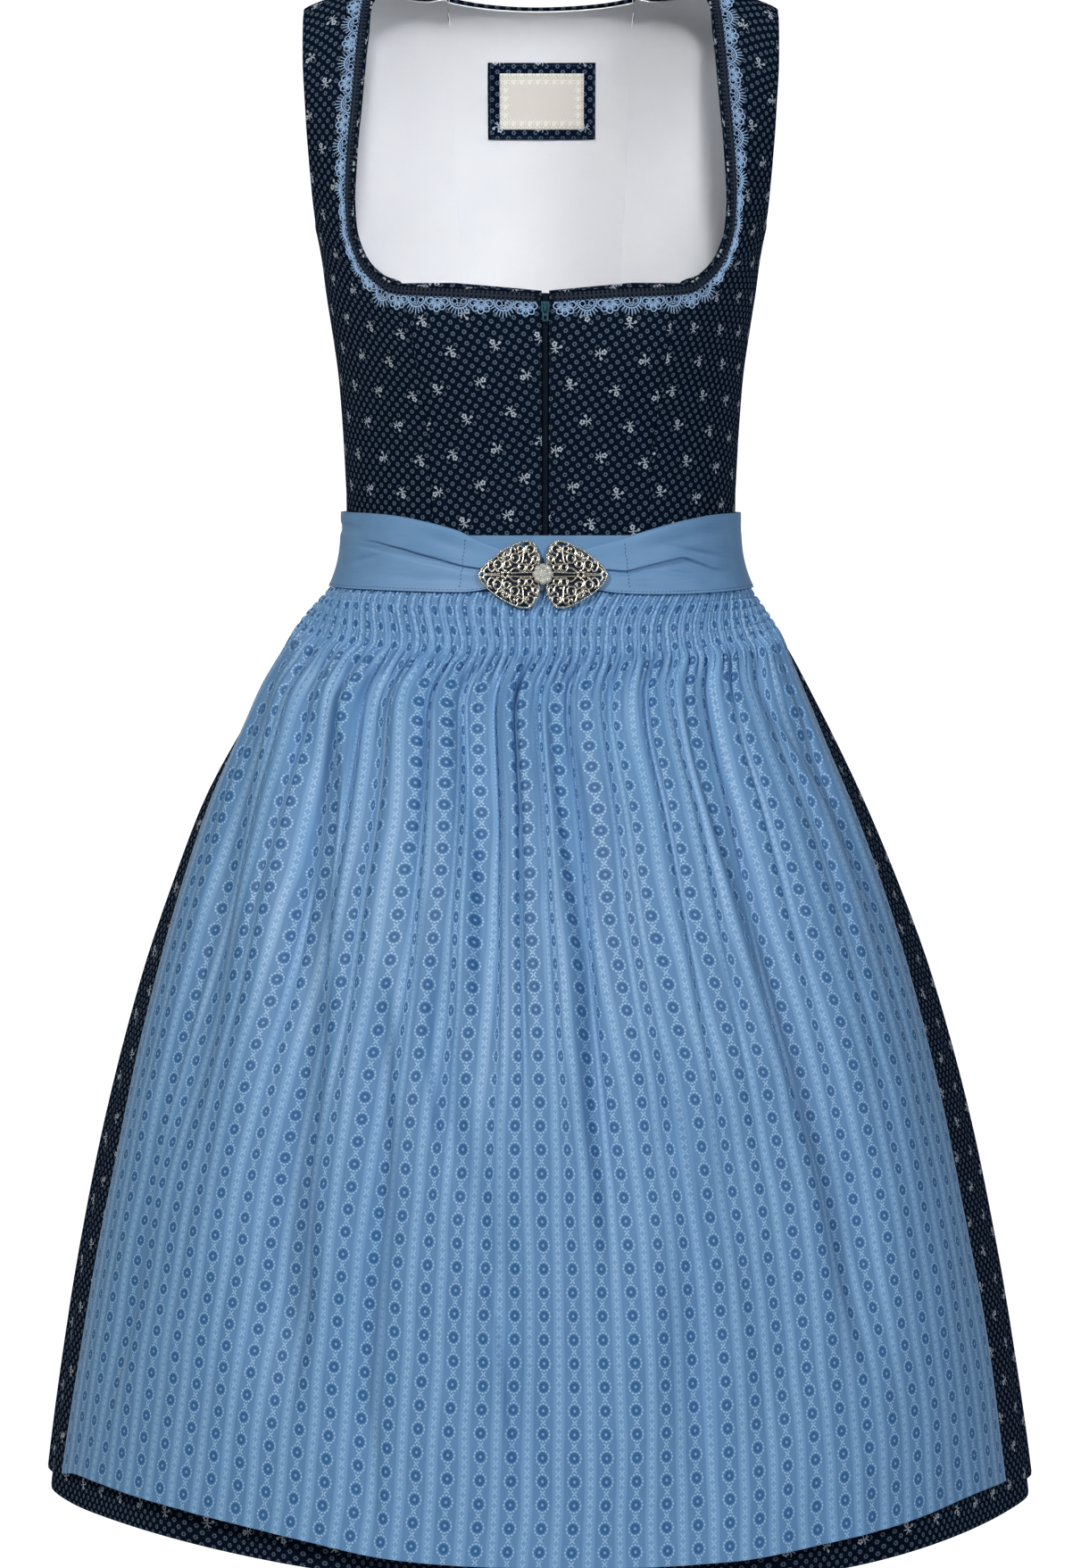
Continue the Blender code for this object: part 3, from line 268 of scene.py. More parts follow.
def table_at(rows, at):
    """Reads a table at values of its first column, on cubics through its rows."""
    rows = np.asarray(rows, float)
    keys, values = rows[:, 0], rows[:, 1:]
    last = len(keys) - 1
    at = np.clip(at, keys[0], keys[last])
    k = np.clip(np.searchsorted(keys, at, side="right") - 1, 0, last - 1)
    low = np.maximum(np.arange(last + 1) - 1, 0)
    high = np.minimum(np.arange(last + 1) + 1, last)
    slopes = (values[high] - values[low]) / (keys[high] - keys[low])[:, None]
    span = (keys[k + 1] - keys[k])[..., None]
    f = (at - keys[k])[..., None] / span
    start = values[k] * (1 + 2 * f) * (1 - f) ** 2 + slopes[k] * span * f * (1 - f) ** 2
    end = values[k + 1] * f * f * (3 - 2 * f) - slopes[k + 1] * span * f * f * (1 - f)
    return start + end


def eased(start, end, at):
    """Goes from 0 to 1 as at goes from start to end, level at both."""
    f = np.clip((at - start) / (end - start), 0.0, 1.0)
    return f * f * (3 - 2 * f)


def unit(vectors):
    """Vectors made 1 long."""
    return vectors / np.maximum(np.linalg.norm(vectors, axis=-1, keepdims=True), 1e-12)


def section(drop):
    """Half width, front depth, back depth and squareness at each drop."""
    return np.moveaxis(table_at(FORM_BY_ROOT, np.sqrt(np.maximum(drop, 0.0))), -1, 0)


def bust(turn, drop):
    """How much deeper the front is at the bust, as a factor."""
    aside = (np.abs(turn) - BUST_TURN) / BUST_SPREAD_TURN
    below = (drop - BUST_DROP) / BUST_SPREAD_DROP
    return 1.0 + BUST_RISE * np.exp(-aside * aside - below * below)


def form_point(turn, drop, out=None):
    """Points on the garment's outer face, or out from it along its normal."""
    turn, drop = np.broadcast_arrays(np.asarray(turn, float), np.asarray(drop, float))
    half_width, front, back, squareness = section(drop)
    s, c = np.sin(np.radians(turn)), np.cos(np.radians(turn))
    reach = (np.abs(s) ** squareness + np.abs(c) ** squareness) ** (-1.0 / squareness)
    depth = np.where(c > 0, front * bust(turn, drop), back)
    points = np.stack([half_width * reach * s, -depth * reach * c, -drop], -1)
    if out is None:
        return points
    return points + form_normal(turn, drop) * np.asarray(out, float)[..., None]


def form_normal(turn, drop):
    """The outward direction of the form."""
    across = form_point(turn + 0.5, drop) - form_point(turn - 0.5, drop)
    down = form_point(turn, drop + 0.5) - form_point(turn, drop - 0.5)
    return unit(np.cross(down, across))


def turn_at(x, drop, out=0.0):
    """The turn at which the front of a section reaches x."""
    half_width, _, _, squareness = section(np.asarray(drop, float))
    share = np.minimum(np.abs(x) / (half_width + out), 1 - 1e-9) ** squareness
    return np.sign(x) * np.degrees(np.arctan((share / (1.0 - share)) ** (1.0 / squareness)))


def outside(points):
    """Above 0 outside the bodice's form and below 0 inside it."""
    x, y, drop = points[..., 0], points[..., 1], -points[..., 2]
    half_width, front, back, squareness = section(np.maximum(drop, 1e-4))
    turn = np.degrees(np.arctan2(x / half_width, -y / np.maximum(front, 1e-6)))
    depth = np.where(y < 0, front * bust(turn, drop), back)
    total = (np.abs(x) / half_width) ** squareness
    total = total + (np.abs(y) / np.maximum(depth, 1e-6)) ** squareness
    return np.where(drop <= 0, 1.0 - drop, total ** (1.0 / squareness) - 1.0)


def slope_of_form(points, step=0.2):
    """The outward direction at points on the bodice, right up to the shoulder."""
    below = np.array(points, float)
    below[..., 2] = np.minimum(below[..., 2], -2 * step)
    moves = np.eye(3) * step
    return unit(np.stack([outside(below + m) - outside(below - m) for m in moves], -1))


def grid_normals(grid):
    """Outward directions over a grid, from its own points."""
    across = np.gradient(grid, axis=1)
    down = np.gradient(grid, axis=0)
    return unit(np.cross(down, across))


def finer(rows, split=ROW_SPLIT):
    """More rows between those of a table, on smooth curves."""
    keyed = np.column_stack([np.arange(len(rows)), np.asarray(rows, float)])
    return table_at(keyed, np.linspace(0, len(rows) - 1, (len(rows) - 1) * split + 1))


def every(count, step):
    """The numbers of every so many rows, with the last."""
    return np.unique(np.append(np.arange(0, count, step), count - 1))


def joined_rows(upper, lower):
    """Triangles between two rows of point numbers, also of unlike counts."""
    faces = []
    i = j = 0
    while i < len(upper) - 1 or j < len(lower) - 1:
        if (j + 1) * (len(upper) - 1) <= (i + 1) * (len(lower) - 1) and j < len(lower) - 1:
            faces.append((upper[i], lower[j], lower[j + 1]))
            j += 1
        else:
            faces.append((upper[i], lower[j], upper[i + 1]))
            i += 1
    return faces


def numbered(grid):
    """The number of each point of a grid."""
    return np.arange(grid[..., 0].size).reshape(grid.shape[:2])


def quads(numbers):
    """The faces of a grid of point numbers, facing outwards."""
    corners = (numbers[:-1, :-1], numbers[1:, :-1], numbers[1:, 1:], numbers[:-1, 1:])
    return np.stack(corners, -1).reshape(-1, 4)


def wall_faces(outer, inner):
    """The faces of a closed wall whose outer grid's points come before its inner grid's."""
    front = numbered(outer)
    back = numbered(inner) + front.size
    faces = quads(front).tolist() + quads(back)[:, ::-1].tolist()
    front, back = front.tolist(), back.tolist()
    faces += joined_rows(back[0], front[0]) + joined_rows(front[-1], back[-1])
    faces += joined_rows([row[0] for row in front], [row[0] for row in back])
    return faces + joined_rows([row[-1] for row in back], [row[-1] for row in front])


def closed_cloth(name, outer, inner, uv, material, every_row=1, every_column=1):
    """One closed wall of cloth from two grids in millimetres. The inner may keep fewer points."""
    kept = np.ix_(every(len(outer), every_row), every(outer.shape[1], every_column))
    inner, inner_uv = inner[kept], uv[kept]
    faces = wall_faces(outer, inner)
    points = np.concatenate([outer.reshape(-1, 3), inner.reshape(-1, 3)]) * MM
    obj = new_object(name, points, faces, material)
    obj.data.set_sharp_from_angle(angle=math.radians(60))
    lay_out(obj, np.concatenate([uv.reshape(-1, 2), inner_uv.reshape(-1, 2)]))
    return obj


def lay_out(obj, places, layer_name="cloth"):
    """Gives each point its place on the flat cloth, in metres, or another pair of values."""
    corners = np.empty(len(obj.data.loops), int)
    obj.data.loops.foreach_get("vertex_index", corners)
    layer = obj.data.uv_layers.new(name=layer_name)
    layer.data.foreach_set("uv", np.asarray(places, float)[corners].ravel())


def steps_between(points, axis=0):
    """The distances from each point to the next."""
    return np.linalg.norm(np.diff(points, axis=axis), axis=-1)


def summed(steps):
    """How far each point is from the first, by the steps between them."""
    return np.concatenate([np.zeros(steps.shape[:-1] + (1,)), np.cumsum(steps, -1)], -1)


def flat_places(grid, grain, tilt=0.0, start=(0.0, 0.0)):
    """Flat places in metres over a grid that was cut flat. grain is the column that is straight."""
    u = summed(steps_between(grid, 1))
    u = u - u[:, grain:grain + 1]
    v = -summed(steps_between(grid[:, grain]))[:, None] + np.zeros_like(u)
    c, s = math.cos(math.radians(tilt)), math.sin(math.radians(tilt))
    return np.stack([u * c - v * s + start[0], u * s + v * c + start[1]], -1) * MM


def sewn_on(piece, node=None):
    """Fixes a piece to the dress, in place of a node of the plain model if one is named."""
    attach(piece, "garment")
    if node:
        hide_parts(node)


def edge_turns(rows):
    """Turns and drops of a panel's inner and outer edges, from its table."""
    made = []
    for inner_x, inner_drop, outer_x, outer_drop in rows:
        outer = 90.0 if outer_x is None else float(turn_at(outer_x, outer_drop))
        made.append((float(turn_at(inner_x, inner_drop)), inner_drop, outer, outer_drop))
    return finer(made)


def panel_shares(width):
    """Places across a panel from 0 to 1, closer together beside its seams."""
    edge = np.array(SEAM_COLUMNS) / width
    middle = np.linspace(edge[-1], 1 - edge[-1], PANEL_COLUMNS)[1:-1]
    return np.concatenate([edge, middle, 1 - edge[::-1]])


def side_front_grid(shares):
    """Turns and drops over a side front, from its inner edge out."""
    edges = edge_turns(SIDE_FRONT)
    inner_turn, inner_drop, outer_turn, outer_drop = [edges[:, k, None] for k in range(4)]
    drop = inner_drop + (outer_drop - inner_drop) * shares
    return inner_turn + (outer_turn - inner_turn) * shares, drop


def side_back_grid(shares):
    """Turns and drops over a side back, from its outer edge in."""
    edges = edge_turns(SIDE_BACK)
    inner_turn, inner_drop, outer_turn, outer_drop = [edges[:, k, None] for k in range(4)]
    drop = outer_drop + (inner_drop - outer_drop) * shares
    return 180.0 - (outer_turn + (inner_turn - outer_turn) * shares), drop


def centre_front_grid(centre_x, shares):
    """From the zip at centre_x to the princess seam."""
    rows = SIDE_FRONT[PRINCESS_START:]
    tops = [(CENTRE_FRONT_TOP if k == 0 else row[1],) + row[:2] for k, row in enumerate(rows)]
    centre_drop, princess_x, princess_drop = [finer(tops)[:, k, None] for k in range(3)]
    drop = centre_drop + (princess_drop - centre_drop) * np.minimum(1.0, 1.6 * shares)
    return turn_at(centre_x + (princess_x - centre_x) * shares, drop), drop


def centre_back_grid(shares):
    """Turns and drops over the centre back, whose neck dips in the middle."""
    rows = finer([row[:2] for row in SIDE_BACK[BACK_PRINCESS_START:]])
    x, edge_drop = rows[:, 0, None], rows[:, 1, None]
    f = 2.0 * shares - 1.0
    fade = 1.0 - eased(0.0, BACK_DIP_FADE, edge_drop - SIDE_BACK[BACK_PRINCESS_START][1])
    return 180.0 + turn_at(x, edge_drop) * f, edge_drop + BACK_NECK_DIP * fade * (1.0 - f * f)


def from_front(turn):
    """A turn as one between -180 and 180."""
    return (turn + 180.0) % 360.0 - 180.0


def unevenness(turn, drop):
    """How far worn cloth strays from the form, with the creases above the belt."""
    out = sum(size * np.sin(turn / a + drop / b + start) for size, a, b, start in WAVES)
    turned = from_front(turn)
    for at, low, half_length, half_width, depth, tilt in CREASES:
        along = (turned - at) / half_length
        across = (drop - low - tilt * (turned - at)) / half_width
        out = out - depth * np.exp(-along * along - across * across)
    return out


def panel_walls(turn, drop, thickness=CLOTH, behind=0.0, sinks=SEAM_SINKS, inset=SEAM_GAP / 2):
    """A panel's outer and inner grids. Its seam edges sink and stand apart by twice the inset."""
    base = form_point(turn, drop)
    normals = slope_of_form(base)
    along = summed(steps_between(base, 1))
    near = np.minimum(along, along[:, -1:] - along)
    out = unevenness(turn, drop) - sinks * np.exp(-(near / SEAM_WIDTH) ** 2)
    base[:, 0] += unit(base[:, 1] - base[:, 0]) * inset
    base[:, -1] += unit(base[:, -2] - base[:, -1]) * inset
    outer = base + normals * (out - behind)[..., None]
    return outer, outer - normals * thickness


def mirrored(grid):
    """A grid on the other side of the body."""
    return grid[:, ::-1] * np.array([-1.0, 1.0, 1.0])


# The print is laid on flat places: small ring flowers on a close diagonal lattice, and
# twigs on a wide staggered one, each turned another way from its neighbours. Sizes are
# those of the printed cloth in millimetres.
NAVY = "#081322"
RING_FLOWER = "#66768a"
TWIG = "#bcc8d6"
FLOWER_PITCH = 7.5
PETALS = 6
PETAL_RING = 1.08
PETAL_RADIUS = 0.47
PRINT_EDGE = 0.16
TWIG_PITCH = (29.5, 22.5)
TWIG_CLEARS = 4.9
TWIG_FLOWER = (1.3, -2.0)
TWIG_BUD = (-3.2, -0.9)
TWIG_STROKES = (
    # from x, y, to x, y, half width
    (0.6, -0.4, 0.0, 1.4, 0.22),
    (0.0, 1.4, -0.9, 3.6, 0.24),
    (0.1, 1.2, 1.0, 3.0, 0.26),
    (1.0, 3.0, 1.7, 3.8, 0.22),
    (-0.2, 1.8, -2.2, 2.8, 0.26),
    (0.3, 0.5, 2.2, 1.3, 0.24),
    (2.2, 1.3, 3.4, 1.0, 0.22),
    (0.2, 0.3, -1.8, 0.3, 0.24),
    (-1.8, 0.3, -2.8, -0.5, 0.20),
)
THREAD_PITCH = 0.9


def add_node(tree, kind, *inputs, sockets=None, **settings):
    """Adds a node with its settings, sets or links its inputs, and returns its output in use."""
    node = tree.nodes.new("ShaderNode" + kind)
    for name, value in settings.items():
        setattr(node, name, value)
    named = list(enumerate(inputs)) + list((sockets or {}).items())
    for key, value in named:
        if isinstance(value, bpy.types.NodeSocket):
            tree.links.new(value, node.inputs[key])
        elif value is not None:
            node.inputs[key].default_value = value
    measures = settings.get("operation") in ("LENGTH", "DOT_PRODUCT", "DISTANCE")
    return node.outputs["Value" if measures else 0]


def tiled(tree, place, width, height):
    """The place from the middle of its tile in a repeat, and the tile's number."""
    shared = add_node(tree, "VectorMath", place, (width, height, 1.0), operation="DIVIDE")
    half_way = add_node(tree, "VectorMath", shared, (0.5, 0.5, 0.5), operation="ADD")
    number = add_node(tree, "VectorMath", half_way, operation="FLOOR")
    inside = add_node(tree, "VectorMath", shared, number, operation="SUBTRACT")
    return add_node(tree, "VectorMath", inside, (width, height, 0.0), operation="MULTIPLY"), number


def petals(tree, place, count, ring, radius, phase=0.0, edge=PRINT_EDGE):
    """1 inside a ring of round petals about the middle of a place, and 0 outside."""
    x = add_node(tree, "SeparateXYZ", place)
    angle = add_node(tree, "Math", x.node.outputs["Y"], x, operation="ARCTAN2")
    turned = add_node(tree, "Math", angle, phase, operation="ADD")
    folded = add_node(tree, "Math", turned, math.pi / count, operation="PINGPONG")
    distance = add_node(tree, "VectorMath", place, operation="LENGTH")
    towards = add_node(tree, "Math", add_node(tree, "Math", folded, operation="COSINE"), distance,
                       operation="MULTIPLY")
    squares = add_node(tree, "Math", distance, distance, ring * ring, operation="MULTIPLY_ADD")
    squared = add_node(tree, "Math", towards, -2 * ring, squares, operation="MULTIPLY_ADD")
    inner = max(radius - edge, 0.0)
    return add_node(tree, "MapRange", squared, (radius + edge) ** 2, inner ** 2, 0.0, 1.0)


def stroke(tree, place, start, end, half_width, edge=PRINT_EDGE):
    """1 on a straight stroke with round ends."""
    way = np.array(end, float) - np.array(start, float)
    length = float(np.linalg.norm(way))
    way = tuple(way / length) + (0.0,)
    relative = add_node(tree, "VectorMath", place, tuple(start) + (0.0,), operation="SUBTRACT")
    along = add_node(tree, "VectorMath", relative, way, operation="DOT_PRODUCT")
    kept = add_node(tree, "MapRange", along, 0.0, length, 0.0, length)
    nearest = add_node(tree, "VectorMath", way, sockets={"Scale": kept}, operation="SCALE")
    distance = add_node(tree, "VectorMath", relative, nearest, operation="DISTANCE")
    return add_node(tree, "MapRange", distance, half_width + edge, half_width - edge, 0.0, 1.0)


def either(tree, masks):
    """The larger of several masks."""
    found = masks[0]
    for mask in masks[1:]:
        found = add_node(tree, "Math", found, mask, operation="MAXIMUM")
    return found


def without(tree, mask, hole):
    """A mask less another."""
    kept = add_node(tree, "Math", 1.0, hole, operation="SUBTRACT")
    return add_node(tree, "Math", mask, kept, operation="MULTIPLY")


def coloured(tree, mask, below, above):
    """One colour below a mask and another on it. Either may be a socket or a hex colour."""
    below, above = [linear(c) if isinstance(c, str) else c for c in (below, above)]
    return add_node(tree, "MixRGB", mask, below, above)


def plain_weave(tree, place, pitch):
    """The height of a plain weave, drawn coarser than the thread so that it shows."""
    rate = 2 * math.pi / pitch
    scaled = add_node(tree, "VectorMath", place, (rate, rate, 0.0), operation="MULTIPLY")
    waves = add_node(tree, "VectorMath", scaled, operation="SINE")
    x = add_node(tree, "SeparateXYZ", waves)
    return add_node(tree, "Math", x, x.node.outputs["Y"], operation="MULTIPLY")


def cloth_place(tree):
    """The place on the flat cloth in millimetres."""
    uv = add_node(tree, "UVMap", uv_map="cloth")
    return add_node(tree, "VectorMath", uv, (1000.0, 1000.0, 0.0), operation="MULTIPLY")


def relief(tree, shader, height, depth, strength=1.0):
    """Raises the surface by a height from 0 to 1, of a depth in millimetres."""
    sockets = {"Strength": strength, "Distance": depth * MM, "Height": height}
    bump = add_node(tree, "Bump", sockets=sockets)
    tree.links.new(bump, shader.inputs["Normal"])


def twig(tree, place):
    """A sprig with one open flower, leaves and a bud, in the middle of a tile."""
    masks = [stroke(tree, place, row[:2], row[2:4], row[4]) for row in TWIG_STROKES]
    for middle, count, ring, radius in ((TWIG_FLOWER, 5, 1.25, 0.66), (TWIG_BUD, 4, 0.62, 0.42)):
        moved = add_node(tree, "VectorMath", place, tuple(middle) + (0.0,), operation="SUBTRACT")
        masks.append(petals(tree, moved, count, ring, radius))
    return either(tree, masks)


def make_printed_cotton():
    """Cotton poplin, printed and calendered: matt, with the weave just showing in its relief and in
    painted shade between the threads.
    """
    material, tree, shader = new_material(
        "printed cotton poplin", Roughness=0.9, Specular_IOR_Level=0.0)
    place = cloth_place(tree)
    rows = add_node(tree, "SeparateXYZ", tiled(tree, place, *TWIG_PITCH)[1]).node.outputs["Y"]
    odd = add_node(tree, "Math", rows, 1.0, operation="PINGPONG")
    half_tile = add_node(tree, "Math", odd, TWIG_PITCH[0] / 2, operation="MULTIPLY")
    stagger = add_node(tree, "CombineXYZ", half_tile)
    shifted = add_node(tree, "VectorMath", place, stagger, operation="ADD")
    in_tile, tile = tiled(tree, shifted, *TWIG_PITCH)
    chance = add_node(tree, "TexWhiteNoise", tile)
    quarter = add_node(tree, "Math", chance, math.tau, operation="MULTIPLY")
    stepped = add_node(tree, "Math", quarter, math.pi / 2, operation="SNAP")
    turned = add_node(tree, "VectorRotate", in_tile, sockets={"Angle": stepped}, rotation_type="Z_AXIS")
    twigs = twig(tree, turned)
    size = FLOWER_PITCH / math.sqrt(2)
    diagonal = add_node(tree, "Mapping", place, (0, 0, 0), (0, 0, math.pi / 4), (1, 1, 1))
    near, _ = tiled(tree, diagonal, size, size)
    flowers = petals(tree, near, PETALS, PETAL_RING, PETAL_RADIUS, -math.pi / 4)
    from_twig = add_node(tree, "VectorMath", in_tile, operation="LENGTH")
    covered = add_node(tree, "MapRange", from_twig, TWIG_CLEARS + 0.1, TWIG_CLEARS - 0.1, 0.0, 1.0)
    flowers = without(tree, flowers, covered)
    worn = add_node(tree, "TexNoise", place, sockets={"Scale": 0.35, "Detail": 3.0})
    flowers = add_node(tree, "Math", flowers, add_node(tree, "MapRange", worn, 0.3, 0.7, 0.72, 1.0),
                       operation="MULTIPLY")
    weave = plain_weave(tree, place, THREAD_PITCH)
    # Painted shade between the threads: the ground is darker where the weave's height is low and lighter
    # where it is high.
    ground = coloured(tree, add_node(tree, "MapRange", weave, -1.0, 1.0, 0.0, 1.0), NAVY, "#0d192a")
    colour = coloured(tree, flowers, ground, RING_FLOWER)
    colour = coloured(tree, twigs, colour, TWIG)
    tree.links.new(colour, shader.inputs["Base Color"])
    ink = either(tree, [flowers, twigs])
    height = add_node(tree, "Math", ink, 0.5, weave, operation="MULTIPLY_ADD")
    relief(tree, shader, height, 0.05, 0.5)
    return material


printed_cotton = make_printed_cotton()
side_shares = panel_shares(SIDE_PANEL_WIDTH)
front_shares = panel_shares(FRONT_PANEL_WIDTH)
zip_edge = ZIP_HALF_WIDTH + SEAM_GAP
panels = {
    # node: its turns and drops on the +X side, whether it lies on the other, its grain's tilt
    "side_front_left": (side_front_grid(side_shares), False, 9.0),
    "side_front_right": (side_front_grid(side_shares), True, 4.0),
    "side_back_left": (side_back_grid(side_shares), False, -6.0),
    "side_back_right": (side_back_grid(side_shares), True, 6.0),
    "centre_front_left": (centre_front_grid(zip_edge + ZIP_X, front_shares), False, 8.0),
    "centre_front_right": (centre_front_grid(zip_edge - ZIP_X, front_shares), True, -9.0),
    "centre_back": (centre_back_grid(panel_shares(BACK_PANEL_WIDTH)), False, 0.0),
}
for number, (node, ((turn, drop), flip, tilt)) in enumerate(panels.items()):
    outer, inner = panel_walls(turn, drop)
    if flip:
        outer, inner = mirrored(outer), mirrored(inner)
    uv = flat_places(outer, outer.shape[1] // 2, tilt, (11.0 * number, 17.0 * number))
    panel = closed_cloth(node + "_panel", outer, inner, uv, printed_cotton, 2, 2)
    sewn_on(panel, node)

# Lining
# The back panels are lined with a smooth white cotton, cut like them and turned in just
# below the neck and beside the armholes, so that a dark edge shows above it.
LINING = 1.0
LINING_GAP = 0.8
LINING_SET_DOWN = 0.9
LINING_LEVELS_OUT = 40.0
LINING_INSET = 0.02
LINING_DRAWN_IN = 0.028
ARMHOLE_LAST_ROW = 12
LINING_WHITE = "#e9ebef"


def mottled(tree, place, scale, dark, light, detail=2.0):
    """A colour that drifts softly between two."""
    drift = add_node(tree, "TexNoise", place, sockets={"Scale": scale, "Detail": detail})
    return coloured(tree, add_node(tree, "MapRange", drift, 0.35, 0.65, 0.0, 1.0), dark, light)


def make_lining_cotton():
    """Fine white batiste, mangled flat: even and matt, with a cool cast."""
    material, tree, shader = new_material(
        "white cotton batiste", Roughness=0.78, Specular_IOR_Level=0.25, Sheen_Weight=0.12)
    place = cloth_place(tree)
    tree.links.new(mottled(tree, place, 0.012, "#e4e6eb", LINING_WHITE), shader.inputs["Base Color"])
    relief(tree, shader, plain_weave(tree, place, 0.7), 0.02, 0.3)
    return material


lining_cotton = make_lining_cotton()


def lining_shares(shares, at_neck, at_arm):
    """Shares of a panel's width for each row, drawn in from the neck and the armhole."""
    row = np.arange((len(SIDE_BACK) - 1) * ROW_SPLIT + 1)[:, None]
    from_neck = 1 - eased(at_neck * ROW_SPLIT - 12, at_neck * ROW_SPLIT - 1, row)
    from_arm = 1 - eased(at_arm * ROW_SPLIT - 6, at_arm * ROW_SPLIT + 4, row)
    first, last = from_arm * LINING_DRAWN_IN, 1 - from_neck * LINING_DRAWN_IN
    return first + (last - first) * shares


def lining_piece(node, turn, drop, flip):
    """One lining panel, set down a little from its top edge."""
    below = drop + LINING_SET_DOWN * (1 - eased(0.0, LINING_LEVELS_OUT, drop - drop[:1]))
    outer, inner = panel_walls(turn, below, LINING, CLOTH + LINING_GAP, 0.0, LINING_INSET)
    if flip:
        outer, inner = mirrored(outer), mirrored(inner)
    uv = flat_places(outer, outer.shape[1] // 2)
    lining = closed_cloth(node + "_sewn", outer, inner, uv, lining_cotton)
    sewn_on(lining, node)


drawn_in = lining_shares(panel_shares(SIDE_PANEL_WIDTH), BACK_PRINCESS_START, ARMHOLE_LAST_ROW)
lining_turn, lining_drop = side_back_grid(drawn_in)
lining_piece("side_back_lining_left", lining_turn, lining_drop, False)
lining_piece("side_back_lining_right", lining_turn, lining_drop, True)
lining_piece("centre_back_lining", *centre_back_grid(panel_shares(BACK_PANEL_WIDTH)), False)

# Neck piping
# A thin cord wrapped in the same print is caught in the seam of the front neckline, and
# shows as a narrow round edge from the shoulders to the zip.
PIPING_AT = 0.9
PIPING_OUT = 0.35
PIPING_RADIUS = 0.8
NECK_SAMPLES = 600
TRIM_REACH = 24
TRIM_START = 2.0


def spaced(path, step):
    """Points at an even spacing along a path."""
    lengths = summed(steps_between(path))
    at = np.linspace(0, lengths[-1], max(2, round(lengths[-1] / step)) + 1)
    return np.stack([np.interp(at, lengths, path[:, k]) for k in range(3)], -1)


def settled(points, direction):
    """Moves points along a direction onto the bodice's outer face."""
    low, high = -12.0 * np.ones(points.shape[:-1]), 12.0 * np.ones(points.shape[:-1])
    for _ in range(20):
        middle = (low + high) / 2
        beyond = outside(points + direction * middle[..., None]) > 0
        high = np.where(beyond, middle, high)
        low = np.where(beyond, low, middle)
    return points + direction * high[..., None]


def neck_grid(end_x):
    """Places and normals beside the +X neckline: a row for each mm along, a column for each away."""
    rows = [(k,) + row[:2] for k, row in enumerate(SIDE_FRONT[:PRINCESS_START + 1])]
    rows += [(len(rows), 45.0, 206.0), (len(rows) + 1, end_x, CENTRE_FRONT_TOP)]
    x, drop = np.moveaxis(table_at(rows, np.linspace(0, len(rows) - 1, NECK_SAMPLES)), -1, 0)
    edge = spaced(form_point(turn_at(x, drop), drop), 1.0)
    edge = edge[-edge[:, 2] > TRIM_START]
    count = np.arange(len(edge))
    ahead, behind = np.minimum(count + 3, len(edge) - 1), np.maximum(count - 3, 0)
    normal = slope_of_form(edge)
    aside = unit(np.cross(normal, edge[ahead] - edge[behind]))
    away = np.arange(-1, TRIM_REACH + 1)[:, None]
    points = settled(edge[:, None] + aside[:, None] * away, np.repeat(normal[:, None], len(away), 1))
    return points, slope_of_form(points)


def beside_neck(grid, along, away, out):
    """Points at distances along the neckline, away from it and out of the cloth, with normals."""
    points, normals = grid
    along, away, out = np.broadcast_arrays(*[np.asarray(v, float) for v in (along, away, out)])
    i = np.clip(along, 0, len(points) - 1.001)
    j = np.clip(away + 1, 0, points.shape[1] - 1.001)
    a, b = i.astype(int), j.astype(int)
    f, g = (i - a)[..., None], (j - b)[..., None]

    def mixed(v):
        near = v[a, b] * (1 - f) + v[a + 1, b] * f
        far = v[a, b + 1] * (1 - f) + v[a + 1, b + 1] * f
        return near * (1 - g) + far * g

    normal = unit(mixed(normals))
    return mixed(points) + normal * out[..., None], normal


def cord(path, up, radius, depth=None, sides=6, closed=False):
    """Points, faces and flat places of a cord: radius is its half width, depth its half height."""
    radius = np.broadcast_to(np.asarray(radius, float), len(path))
    depth = radius if depth is None else np.broadcast_to(np.asarray(depth, float), len(path))
    along = np.roll(path, -1, 0) - np.roll(path, 1, 0)
    if not closed:
        along = np.gradient(path, axis=0)
    along = unit(along)
    aside = unit(np.cross(along, up))
    rise = np.cross(aside, along)
    angle = np.arange(sides) * math.tau / sides
    wide = aside[:, None] * (radius[:, None] * np.cos(angle))[..., None]
    high = rise[:, None] * (depth[:, None] * np.sin(angle))[..., None]
    points = (path[:, None] + wide + high).reshape(-1, 3)
    ring = np.arange(len(points)).reshape(len(path), sides)
    below = np.roll(ring, -1, 0) if closed else ring[1:]
    above = ring if closed else ring[:-1]
    turned, lowered = np.roll(above, -1, 1), np.roll(below, -1, 1)
    faces = np.stack([above, below, lowered, turned], -1).reshape(-1, 4).tolist()
    if not closed:
        faces += [ring[0].tolist(), ring[-1][::-1].tolist()]
    lengths = summed(steps_between(path))
    around = np.broadcast_to(angle * float(radius.mean()), (len(path), sides))
    places = np.stack([np.repeat(lengths[:, None], sides, 1), around], -1).reshape(-1, 2)
    return points, faces, places * MM


def joined(parts):
    """One set of points, faces and flat places out of several."""
    points, faces, places = [], [], []
    count = 0
    for some_points, some_faces, some_places in parts:
        faces += [[count + n for n in face] for face in some_faces]
        points.append(some_points)
        places.append(some_places)
        count += len(some_points)
    return np.concatenate(points), faces, np.concatenate(places)


def new_trim(name, parts, material, flip=False):
    """A piece made of many cords. flip mirrors it to the -X side."""
    points, faces, places = joined(parts)
    if flip:
        points = points * np.array([-1.0, 1.0, 1.0])
        faces = [face[::-1] for face in faces]
    obj = new_object(name, points * MM, faces, material)
    lay_out(obj, places)
    return obj


